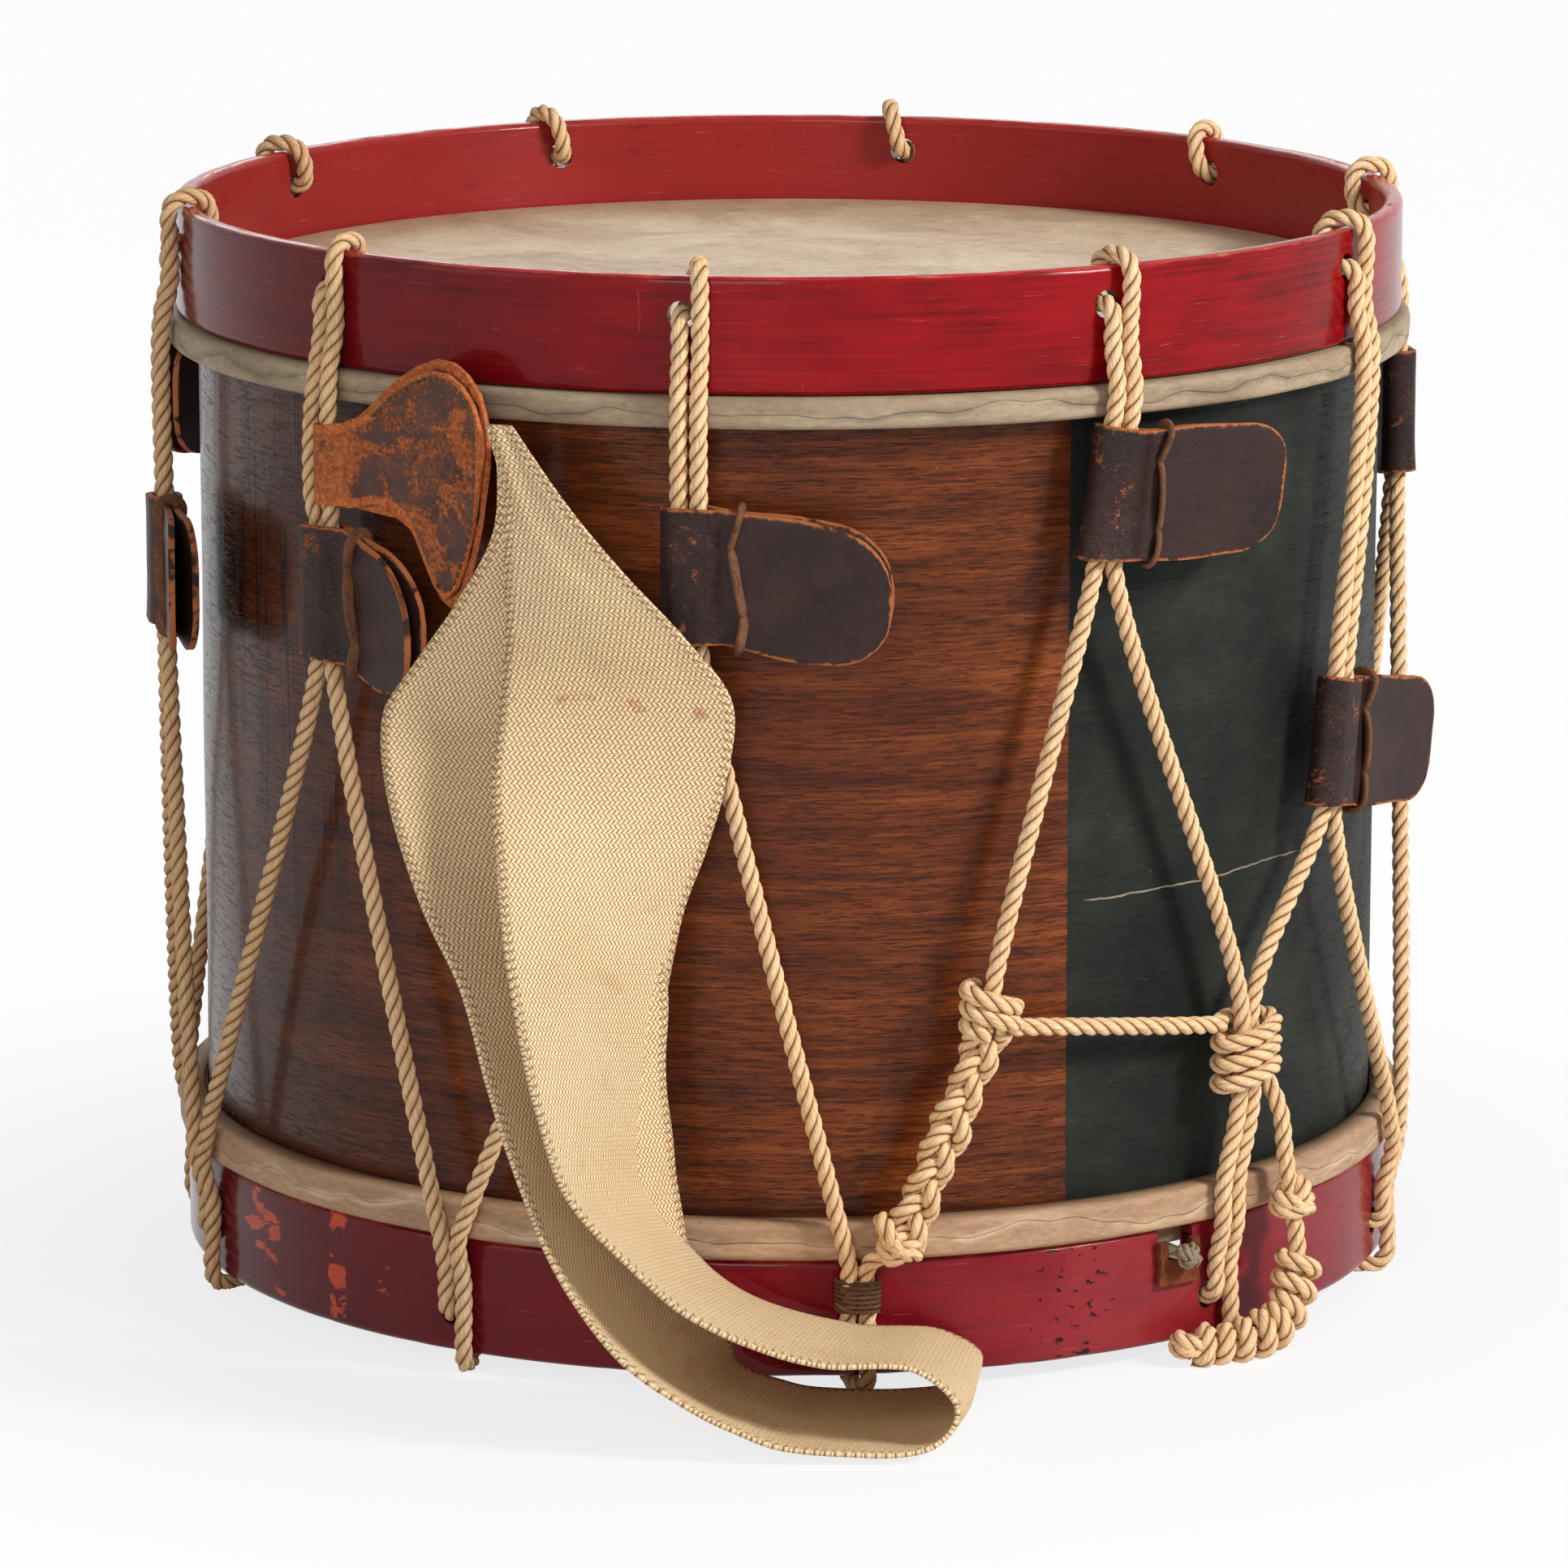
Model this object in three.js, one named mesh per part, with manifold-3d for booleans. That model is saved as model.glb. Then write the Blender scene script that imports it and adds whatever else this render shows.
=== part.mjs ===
// Rope-tensioned field drum, standing on the rope loops under its lower counterhoop.
// Lengths are millimetres, angles are degrees and +Z is up.
// Azimuths count from the front (-Y) to the right (+X).
import * as THREE from 'three';
import Module from 'manifold-3d';
import { mergeVertices } from 'three/addons/utils/BufferGeometryUtils.js';

const wasm = await Module();
wasm.setup();

// Fits
const clearance = 0.3;
const cutOverrun = 20;

// Shell and its glue rings
const shellRadius = 203;
const shellWall = 7;
const bearingSlope = 4;
const bearingFlat = 2;
const glueRingWall = 5.5;
const glueRingHeight = 26;
const ventRadius = 4;
const ventAzimuth = 150;

// Heads and hoops
const drumHeight = 363;
const skinThickness = 0.6;
const headInset = 8;
const counterhoopWall = 6.2;
const topCounterhoopHeight = 38.4;
const bottomCounterhoopHeight = 39.4;
const counterhoopRounding = 2;
const topFleshHoopHeight = 10.3;
const bottomFleshHoopHeight = 13;
const fleshHoopProud = 3.1;
const fleshHoopRounding = 2.5;

// Rope
const ropeDiameter = 6.2;
const ropeFlat = ropeDiameter / 10;
const ropeTurnRadius = 5;
const topHoleInset = 12.5;
const bottomHoleInset = 13.5;
const ropeHoleRadius = 4.6;
const ropeLean = 14;
const topStations = [-79, -44.5, -8.5, 30, 62.5, 101, 133, 169, 205, 240];
const bottomStations = [-68, -31, 6, 42.5, 74, 117, 151, 187, 227, 261];

// Ears: leather tugs that slide on the ropes, each laced with a thong
const earHeight = 43;
const earLeather = 2.2;
const earReach = 62;
const shortEarReach = 46;
const shortEar = 2;
const earCorner = 16;
const earThroat = 9;
const earFlapGap = 0.4;
const earCurl = 3;
const earExitLength = 1;
const earAzimuths = [-79, -44.5, -8.5, 28.8, 57, 101, 133, 169, 205, 240];
const earHeightShares = [0.668, 0.694, 0.738, 0.799, 0.534, 0.772, 0.757, 0.702, 0.755, 0.782];
const thongWidth = 2.2;
const thongThickness = 1.2;
const thongOffset = 5;
const thongSlitPitch = 20;

// Carrying sling: a leather tab folded round a rope, and a webbing loop sewn to it
const slingStation = 2;
const tabLeather = 1.6;
const tabReach = 75;
const tabHeight = 75;
const tabFoldHeight = 26;
const tabFoldFromEar = 8;
const tabThroat = 9;
const tabOutlineShares = [
  [0.3, -0.185], [0.46, -0.205], [0.57, -0.31], [0.66, -0.48], [0.76, -0.55], [0.86, -0.42],
  [0.96, -0.12], [1, 0.18], [0.92, 0.45], [0.7, 0.53], [0.45, 0.43], [0.2, 0.21],
];
const tabOutlineSteps = 24;
const webWidth = 75;
const webThickness = 1.6;
const webCrown = 1.5;
const webStepsPerStation = 2;
const webPointsAcross = 3;
// The webbing's stations from the tab round and back to it: azimuth, how far out as a share of the
// webbing's width, height as a share of the drum's, how far its breadth is turned towards the drum, how
// far its near edge is raised, and its breadth as a share of the webbing's width
const webStationShares = [
  [-23.4, 0.17, 0.887, 3, 0, 0.12],
  [-20.3, 0.19, 0.824, 2, 0, 0.27],
  [-17.9, 0.19, 0.763, 2, 0, 0.52],
  [-15.3, 0.185, 0.705, 1, 0, 0.79],
  [-13.6, 0.19, 0.647, 6, 0, 1],
  [-13.9, 0.26, 0.579, 22, 3, 1],
  [-13.9, 0.38, 0.523, 41, 5, 1],
  [-14.1, 0.5, 0.46, 56, 8, 1],
  [-14, 0.575, 0.353, 70, 12, 1],
  [-13.3, 0.595, 0.284, 76, 12, 1],
  [-12.2, 0.585, 0.22, 80, 12, 1],
  [-9.2, 0.55, 0.165, 83, 11, 1],
  [-4.7, 0.49, 0.116, 81, 9, 1],
  [3.2, 0.45, 0.08, 77, 6, 1],
  [9.8, 0.435, 0.072, 73, 6, 1],
  [13.2, 0.47, 0.042, 70, 3, 1],
  [10.2, 0.5, 0.012, 74, 0, 1],
  [1.6, 0.47, 0.013, 80, 1, 1],
  [-2.5, 0.475, 0.027, 80.5, 4, 1],
  [-5.6, 0.49, 0.046, 81.6, 6, 1],
  [-9.5, 0.515, 0.083, 81.5, 8, 1],
  [-12.6, 0.55, 0.149, 78.6, 9, 1],
  [-14.2, 0.54, 0.212, 74, 9, 1],
  [-15.3, 0.52, 0.268, 70, 8, 1],
  [-16.4, 0.49, 0.33, 66, 7, 1],
  [-17.1, 0.46, 0.4, 57, 5, 1],
  [-19.7, 0.38, 0.476, 44.7, 3, 1],
  [-22.6, 0.24, 0.556, 25, 1, 1],
  [-24, 0.155, 0.62, 12, 0, 1],
  [-23.5, 0.14, 0.664, 5.5, 0, 0.83],
  [-22.1, 0.13, 0.727, 6, 0, 0.55],
  [-21.2, 0.145, 0.793, 6, 0, 0.3],
  [-22.8, 0.125, 0.87, 5, 0, 0.12],
];

// Snares
const snareAzimuth = 37.5;
const gutDiameter = 1.2;
const gutPitch = 2;
const gutPairs = 3;
const gateWidth = 15;
const gateBelowGut = 3.2;
const buttKnotRadius = 5.6;
const buttKnotShare = 0.8;
const buttWidth = 17;
const buttBelowGut = 10;
const buttAboveGut = 5;
const buttLeather = 2;

// Snare strainer, opposite the butt: a stirrup on a threaded rod, drawn out through a bridge by a thumb nut
const bridgeStandoff = 24;
const bridgeThickness = 2.5;
const bridgeHeight = 12;
const bridgeFootLength = 10;
const bridgeHalfSpan = 11.5;
const stirrupSetback = 5.8;
const stirrupWidth = 17;
const stirrupBar = 2.4;
const stirrupWindowWidth = 12.6;
const stirrupWindowDepth = 4.2;
const rodRadius = 2;
const rodBeyondNut = 12;
const nutRadius = 5;
const nutLength = 7;
const wingSpan = 13;
const wingThickness = 2.4;

// Rope tail on the right front: a shortened leg, a cross tie with its winding, and a free end
const shortenedLeg = 4;
const hitchAzimuth = 17.5;
const hitchHeightShare = 0.337;
const hitchRadius = 8.2;
const sinnetRadius = 5.6;
const lowKnotAzimuth = 9.4;
const lowKnotHeightShare = 0.128;
const lowKnotRadius = 8.2;
const lowKnotOut = 1.8;
const windingAzimuth = 44.3;
const windingHeightShare = 0.267;
const windingTurns = 3.35;
const windingPitch = 6.9;
const windingTilt = 8;
const windingStepsPerTurn = 12;
const windingRoomShare = 1.08;
const windingStart = 200;
const tailKnotRadius = 8;
const tailEndRadius = 5.8;
// The free end's points: azimuth, distance beyond the ropes' face, and height
const tailKnotPoint = [48.6, 4, 48];
const tailTipPoint = [37.5, 0, 5.5];
const tailUpperPoints = [[47.9, 0, 81], [48.2, 2, 64]];
const tailLowerPoints = [[48.4, 7, 27], [46.4, 8, 12], [42.5, 6, 6.5]];

// Round pieces share their facets, so that what nests keeps its clearance all round
const ringSides = 44;
const ropeSides = 8;
const gutSides = 5;
const holeSides = 10;
const ballSides = 10;
const foldSegments = 3;
const outlineSegments = 2;
const ringFlatShare = Math.cos(Math.PI / ringSides);

// Sizes that follow from the ones above
const ropeRadius = ropeDiameter / 2;
const strandOffset = ropeRadius + clearance / 2;
const standHeight = ropeDiameter - ropeFlat + clearance;
const topRimZ = standHeight + drumHeight;
const topHoopLowZ = topRimZ - topCounterhoopHeight;
const bottomHoopHighZ = standHeight + bottomCounterhoopHeight;
const batterZ = topHoopLowZ + headInset;
const snareHeadZ = bottomHoopHighZ - headInset;
const shellTopZ = batterZ - skinThickness - clearance;
const shellLowZ = snareHeadZ + skinThickness + clearance;
const skinRadius = shellRadius + clearance + skinThickness;
const counterhoopInner = skinRadius + clearance;
const counterhoopOuter = counterhoopInner + counterhoopWall;
const fleshOuter = counterhoopOuter + fleshHoopProud;
const topFleshHighZ = topHoopLowZ - clearance;
const topFleshLowZ = topFleshHighZ - topFleshHoopHeight;
const bottomFleshLowZ = bottomHoopHighZ + clearance;
const bottomFleshHighZ = bottomFleshLowZ + bottomFleshHoopHeight;

const strandRadius = fleshOuter + clearance + ropeRadius;
const ropeFace = strandRadius + ropeRadius;
const hoopStrandRadius = counterhoopOuter + clearance + ropeRadius;
const innerStrandRadius = counterhoopInner * ringFlatShare - clearance - ropeRadius;
const ropeTurnCut = ropeTurnRadius * (1 - Math.tan(Math.PI / 8));
const overTurnRadius = counterhoopRounding + clearance + ropeRadius;
const overTurnCut = overTurnRadius * (1 - Math.tan(Math.PI / 8));
const overRimZ = topRimZ + clearance + ropeRadius;
const underRimZ = ropeRadius - ropeFlat;
const topHoleZ = topRimZ - topHoleInset;
const bottomHoleZ = standHeight + bottomHoleInset;
const ropeJointZ = bottomHoopHighZ - ropeLean / 2;
const earSleeveInner = ropeRadius + 2 * clearance;

const mat = {
  shell: new THREE.MeshStandardMaterial({ color: 0x6b2f1c, roughness: 0.45 }),
  hoop: new THREE.MeshStandardMaterial({ color: 0x8f1a1f, roughness: 0.4 }),
  wood: new THREE.MeshStandardMaterial({ color: 0xb08a5c, roughness: 0.7 }),
  skin: new THREE.MeshStandardMaterial({ color: 0xd2bd9c, roughness: 0.6 }),
  rope: new THREE.MeshStandardMaterial({ color: 0xdcb98c, roughness: 0.9 }),
  leather: new THREE.MeshStandardMaterial({ color: 0x3b2720, roughness: 0.55 }),
  thong: new THREE.MeshStandardMaterial({ color: 0x4a3222, roughness: 0.7 }),
  tab: new THREE.MeshStandardMaterial({ color: 0x7a4526, roughness: 0.65 }),
  webbing: new THREE.MeshStandardMaterial({ color: 0xead3ae, roughness: 0.95 }),
  gut: new THREE.MeshStandardMaterial({ color: 0xb9a68a, roughness: 0.5 }),
  brass: new THREE.MeshStandardMaterial({ color: 0xa8853f, roughness: 0.4, metalness: 1 }),
};

const drum = new THREE.Group();

// Merges a geometry's doubled vertices and drops the flat triangles left at its poles
function welded(geometry) {
  const bare = geometry.clone();
  bare.deleteAttribute('normal');
  bare.deleteAttribute('uv');
  const merged = mergeVertices(bare);
  const corners = Array.from(merged.index.array);
  const kept = [];
  for (let i = 0; i < corners.length; i += 3) {
    const [a, b, c] = corners.slice(i, i + 3);
    if (a !== b && b !== c && c !== a) kept.push(a, b, c);
  }
  merged.setIndex(kept);
  return merged;
}

function solid(geometry) {
  const merged = welded(geometry);
  return new wasm.Manifold(new wasm.Mesh({
    numProp: 3,
    vertProperties: new Float32Array(merged.attributes.position.array),
    triVerts: new Uint32Array(merged.index.array),
  }));
}

function geometryOf(manifold) {
  const mesh = manifold.getMesh();
  const geometry = new THREE.BufferGeometry();
  geometry.setAttribute('position', new THREE.BufferAttribute(new Float32Array(mesh.vertProperties), 3));
  geometry.setIndex(new THREE.BufferAttribute(new Uint32Array(mesh.triVerts), 1));
  return geometry;
}

function subtractAll(geometry, cuts) {
  return geometryOf(cuts.reduce((body, cut) => body.subtract(solid(cut)), solid(geometry)));
}

function addAll(geometries) {
  return geometryOf(geometries.map(solid).reduce((body, next) => body.add(next)));
}

function addPiece(name, geometry, material) {
  const mesh = new THREE.Mesh(geometry, material);
  mesh.name = name;
  drum.add(mesh);
  return mesh;
}

// A ring or disc about the drum's axis, from its [radius, height] outline
function revolved(outline) {
  const points = outline.map(([radius, z]) => new THREE.Vector2(radius, z));
  return new THREE.LatheGeometry(points, ringSides).rotateX(Math.PI / 2);
}

// The point at a station: t runs to the right along the hoop, radius outwards
function atStation(azimuth, t, radius, z) {
  const angle = THREE.MathUtils.degToRad(azimuth);
  return new THREE.Vector3(
    radius * Math.sin(angle) + t * Math.cos(angle),
    -radius * Math.cos(angle) + t * Math.sin(angle),
    z,
  );
}

// Stands a piece that is modelled at the front, x to the right and -y outwards, at a station
function standAt(mesh, azimuth, t, radius, z) {
  mesh.position.copy(atStation(azimuth, t, radius, z));
  mesh.rotation.z = THREE.MathUtils.degToRad(azimuth);
  return mesh;
}

function regularSection(radius, sides) {
  const corners = [];
  for (let i = 0; i < sides; i += 1) {
    const angle = (2 * Math.PI * i) / sides;
    corners.push(new THREE.Vector2(radius * Math.cos(angle), radius * Math.sin(angle)));
  }
  return new THREE.Shape(corners);
}

// A route takes one step from each of its points to the next, so bends get many and straights few
class Route extends THREE.CatmullRomCurve3 {
  getUtoTmapping(u) {
    return u;
  }
}

function cord(points, radius, sides = ropeSides) {
  return new THREE.ExtrudeGeometry(regularSection(radius, sides), {
    steps: points.length - 1,
    bevelEnabled: false,
    extrudePath: new Route(points),
  });
}

// Replaces each corner that has a cut by two points, that far along its two sides
function eased(route) {
  const points = [];
  route.forEach(({ at, cut }, i) => {
    if (!cut) {
      points.push(at);
      return;
    }
    const towards = (other) => other.clone().sub(at).setLength(cut).add(at);
    points.push(towards(route[i - 1].at), towards(route[i + 1].at));
  });
  return points;
}

function moveToRadius(point, radius) {
  const share = radius / Math.hypot(point.x, point.y);
  return new THREE.Vector3(point.x * share, point.y * share, point.z);
}

function rectangle(left, low, right, high) {
  return [
    new THREE.Vector2(left, low),
    new THREE.Vector2(right, low),
    new THREE.Vector2(right, high),
    new THREE.Vector2(left, high),
  ];
}

// Shell, glue rings and flesh hoops
const shellInner = shellRadius - shellWall;
const shellRing = revolved([
  [shellInner, shellLowZ + bearingSlope],
  [shellRadius - bearingFlat, shellLowZ],
  [shellRadius, shellLowZ + bearingFlat],
  [shellRadius, shellTopZ - bearingFlat],
  [shellRadius - bearingFlat, shellTopZ],
  [shellInner, shellTopZ - bearingSlope],
  [shellInner, shellLowZ + bearingSlope],
]);

// A hole drilled radially through a hoop or the shell
function radialHole(azimuth, t, radius, z, holeRadius) {
  const length = 2 * cutOverrun;
  const hole = new THREE.CylinderGeometry(holeRadius, holeRadius, length, holeSides);
  hole.rotateZ(THREE.MathUtils.degToRad(azimuth));
  const at = atStation(azimuth, t, radius, z);
  return hole.translate(at.x, at.y, at.z);
}

addPiece('shell', subtractAll(shellRing, [
  radialHole(ventAzimuth, 0, shellRadius, (shellLowZ + shellTopZ) / 2, ventRadius),
]), mat.shell);

function glueRing(name, edgeZ, inwards) {
  const outer = shellInner - clearance;
  const inner = outer - glueRingWall;
  const edge = edgeZ + inwards * bearingSlope;
  const far = edge + inwards * glueRingHeight;
  const outline = [
    [inner, edge + inwards * glueRingWall],
    [outer, edge],
    [outer, far],
    [inner, far],
    [inner, edge + inwards * glueRingWall],
  ];
  addPiece(name, revolved(inwards > 0 ? outline : outline.reverse()), mat.wood);
}

glueRing('bottom_glue_ring', shellLowZ, 1);
glueRing('top_glue_ring', shellTopZ, -1);

function fleshHoop(name, lowZ, highZ) {
  const wrap = skinThickness + clearance;
  const inner = skinRadius + clearance;
  const corner = fleshHoopRounding - wrap / 2;
  addPiece(name, revolved([
    [inner, lowZ + wrap],
    [fleshOuter - wrap - corner, lowZ + wrap],
    [fleshOuter - wrap, lowZ + wrap + corner],
    [fleshOuter - wrap, highZ - wrap - corner],
    [fleshOuter - wrap - corner, highZ - wrap],
    [inner, highZ - wrap],
    [inner, lowZ + wrap],
  ]), mat.wood);
}

fleshHoop('top_flesh_hoop', topFleshLowZ, topFleshHighZ);
fleshHoop('bottom_flesh_hoop', bottomFleshLowZ, bottomFleshHighZ);

// A head's skin: over the bearing edge, down the shell, and lapped round its flesh hoop
function head(name, faceZ, nearZ, farZ) {
  const into = Math.sign(farZ - faceZ);
  const skin = into * skinThickness;
  const lapRadius = skinRadius + clearance;
  const outline = [
    [0, faceZ],
    [shellRadius - bearingFlat, faceZ],
    [skinRadius, faceZ + into * bearingFlat],
    [skinRadius, nearZ],
    [fleshOuter - fleshHoopRounding, nearZ],
    [fleshOuter, nearZ + into * fleshHoopRounding],
    [fleshOuter, farZ - into * fleshHoopRounding],
    [fleshOuter - fleshHoopRounding, farZ],
    [lapRadius, farZ],
    [lapRadius, farZ - skin],
    [fleshOuter - fleshHoopRounding, farZ - skin],
    [fleshOuter - skinThickness, farZ - into * fleshHoopRounding],
    [fleshOuter - skinThickness, nearZ + into * fleshHoopRounding],
    [fleshOuter - fleshHoopRounding, nearZ + skin],
    [skinRadius - skinThickness, nearZ + skin],
    [skinRadius - skinThickness, faceZ + into * bearingFlat],
    [shellRadius - bearingFlat, faceZ + skin],
    [0, faceZ + skin],
  ];
  addPiece(name, revolved(into > 0 ? outline : outline.reverse()), mat.skin);
}

head('batter_head', batterZ, topFleshHighZ, topFleshLowZ);
head('snare_head', snareHeadZ, bottomFleshLowZ, bottomFleshHighZ);

// Counterhoops with their rope holes, and the snare gates in the lower one
const gutZ = snareHeadZ - clearance - gutDiameter / 2;
const gateLowZ = gutZ - gateBelowGut;

function counterhoopRing(lowZ, highZ) {
  const round = counterhoopRounding;
  return revolved([
    [counterhoopInner, lowZ + round],
    [counterhoopInner + round, lowZ],
    [counterhoopOuter - round, lowZ],
    [counterhoopOuter, lowZ + round],
    [counterhoopOuter, highZ - round],
    [counterhoopOuter - round, highZ],
    [counterhoopInner + round, highZ],
    [counterhoopInner, highZ - round],
    [counterhoopInner, lowZ + round],
  ]);
}

function snareGate(azimuth) {
  const gate = new THREE.BoxGeometry(gateWidth, 2 * cutOverrun, cutOverrun);
  gate.translate(0, -(counterhoopInner + counterhoopOuter) / 2, gateLowZ + cutOverrun / 2);
  return gate.rotateZ(THREE.MathUtils.degToRad(azimuth));
}

function ropeHoles(stations, z) {
  return stations.map((azimuth) => radialHole(azimuth, -strandOffset, counterhoopOuter, z, ropeHoleRadius));
}

addPiece('top_counterhoop', subtractAll(
  counterhoopRing(topHoopLowZ, topRimZ),
  ropeHoles(topStations, topHoleZ),
), mat.hoop);

addPiece('bottom_counterhoop', subtractAll(counterhoopRing(standHeight, bottomHoopHighZ), [
  ...ropeHoles(bottomStations, bottomHoleZ),
  snareGate(snareAzimuth),
  snareGate(snareAzimuth + 180),
]), mat.hoop);

// Rope loops: out of the hole's inside, under the counterhoop and up its face
const leanedZ = bottomHoopHighZ - ropeLean;

function loopEnd(azimuth, t) {
  const low = atStation(azimuth, t, hoopStrandRadius, leanedZ);
  const high = atStation(azimuth, t, strandRadius, bottomHoopHighZ);
  const along = high.clone().sub(low).normalize();
  const end = low.clone().lerp(high, (ropeJointZ - leanedZ) / (bottomHoopHighZ - leanedZ));
  return { end, next: end.clone().addScaledVector(along, clearance) };
}

function ropeLoop(name, azimuth) {
  const at = (t, radius, z, cut) => ({ at: atStation(azimuth, t, radius, z), cut });
  const hole = -strandOffset;
  const route = eased([
    { at: loopEnd(azimuth, hole).end },
    at(hole, hoopStrandRadius, leanedZ),
    at(hole, hoopStrandRadius, bottomHoleZ, ropeTurnCut),
    at(hole, innerStrandRadius, bottomHoleZ, ropeTurnCut),
    at(hole / 2, innerStrandRadius, underRimZ, overTurnCut),
    at(strandOffset, hoopStrandRadius, underRimZ, overTurnCut),
    at(strandOffset, hoopStrandRadius, leanedZ),
    { at: loopEnd(azimuth, strandOffset).end },
  ]);
  const below = new THREE.BoxGeometry(4 * cutOverrun, 4 * cutOverrun, cutOverrun);
  const centre = atStation(azimuth, 0, hoopStrandRadius, -cutOverrun / 2);
  below.translate(centre.x, centre.y, centre.z);
  addPiece(name, subtractAll(cord(route, ropeRadius), [below]), mat.rope);
}

bottomStations.forEach((azimuth, i) => ropeLoop(`rope_loop_${i + 1}`, azimuth));

// Rope runs: up one leg, through the ear, out over the rim, back through the ear and down the other leg
const earMiddles = earHeightShares.map((share) => standHeight + share * drumHeight);

// How far the pair of strands over an ear leans to the right, in radians
function earLean(number) {
  const aside = THREE.MathUtils.degToRad(topStations[number - 1] - earAzimuths[number - 1]);
  return Math.atan2(strandRadius * Math.sin(aside), topHoopLowZ - earMiddles[number - 1]);
}

// A point beside an ear's middle: t to the right across the strands, up along them
function besideEar(number, t, up) {
  const lean = earLean(number);
  return atStation(
    earAzimuths[number - 1],
    t * Math.cos(lean) + up * Math.sin(lean),
    strandRadius,
    earMiddles[number - 1] + up * Math.cos(lean) - t * Math.sin(lean),
  );
}

function standAtEar(mesh, number) {
  mesh.position.copy(besideEar(number, 0, 0));
  mesh.rotation.set(0, earLean(number), THREE.MathUtils.degToRad(earAzimuths[number - 1]), 'ZYX');
}

const windingZ = standHeight + windingHeightShare * drumHeight;
const windingHalf = (windingTurns * windingPitch) / 2 + ropeDiameter;
const hitchZ = standHeight + hitchHeightShare * drumHeight;
const hitch = atStation(hitchAzimuth, 0, ropeFace, hitchZ);
const slingStrandShift = ropeRadius + 2 * clearance + tabLeather + clearance + ropeRadius - 2 * strandOffset;

// The points of a leg from its ear down to the joint with its rope loop
function leg(ear, azimuth, t) {
  const foot = atStation(azimuth, t, strandRadius, bottomHoopHighZ);
  const above = foot.clone().lerp(ear, (bottomFleshHighZ - bottomHoopHighZ) / (ear.z - bottomHoopHighZ));
  return [ear, moveToRadius(above, strandRadius + clearance), foot, loopEnd(azimuth, t).next];
}

// A leg that is drawn through the winding on its way down
function woundLeg(ear, t) {
  const azimuth = bottomStations[shortenedLeg - 1];
  const foot = atStation(azimuth, t, strandRadius, bottomHoopHighZ);
  return [
    ear,
    atStation(windingAzimuth, t, strandRadius, windingZ + windingHalf),
    atStation(windingAzimuth, t, strandRadius, windingZ - windingHalf),
    moveToRadius(foot.clone().setZ(bottomFleshHighZ), strandRadius + clearance),
    foot,
    loopEnd(azimuth, t).next,
  ];
}

// The leg that stops at the hitch, where the shortened rope takes over
function hitchedLeg(ear) {
  const along = ear.clone().sub(hitch).normalize();
  return [ear, hitch.clone().addScaledVector(along, hitchRadius + clearance)];
}

function ropeRun(number) {
  const azimuth = topStations[number - 1];
  const at = (t, radius, z, cut) => ({ at: atStation(azimuth, t, radius, z), cut });
  const exit = earHeight / 2 + earExitLength;
  const left = besideEar(number, -strandOffset, -exit);
  const right = besideEar(number, strandOffset, -exit);
  const before = (number + bottomStations.length - 2) % bottomStations.length;
  let leftLeg = leg(left, bottomStations[before], strandOffset);
  let rightLeg = leg(right, bottomStations[number - 1], -strandOffset);
  if (number === shortenedLeg) leftLeg = hitchedLeg(left);
  if (number === shortenedLeg) rightLeg = woundLeg(right, -strandOffset);
  if (number === shortenedLeg + 1) leftLeg = woundLeg(left, strandOffset);
  const leans = earLean(number) !== 0;
  const leftExit = { at: besideEar(number, -strandOffset, exit) };
  const rightExit = leans ? [{ at: besideEar(number, strandOffset, exit) }] : [];
  const aside = leans || number === slingStation ? [leftExit] : [];
  if (number === slingStation) {
    const earTop = earMiddles[number - 1] + earHeight / 2;
    const tabTop = earTop + tabFoldFromEar + tabFoldHeight;
    aside.push(at(-strandOffset - slingStrandShift, strandRadius, earTop + tabFoldFromEar));
    aside.push(at(-strandOffset - slingStrandShift, strandRadius, tabTop));
  }
  const over = eased([
    ...aside,
    at(-strandOffset, strandRadius, topHoopLowZ),
    at(-strandOffset, hoopStrandRadius, topHoopLowZ + ropeLean),
    at(-strandOffset, hoopStrandRadius, topHoleZ, ropeTurnCut),
    at(-strandOffset, innerStrandRadius, topHoleZ, ropeTurnCut),
    at(-strandOffset / 2, innerStrandRadius, overRimZ, overTurnCut),
    at(strandOffset, hoopStrandRadius, overRimZ, overTurnCut),
    at(strandOffset, hoopStrandRadius, topHoopLowZ + ropeLean),
    at(strandOffset, strandRadius, topHoopLowZ),
    ...rightExit,
  ]);
  addPiece(`rope_run_${number}`, cord([...leftLeg.reverse(), ...over, ...rightLeg], ropeRadius), mat.rope);
}

topStations.forEach((azimuth, i) => ropeRun(i + 1));

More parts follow.
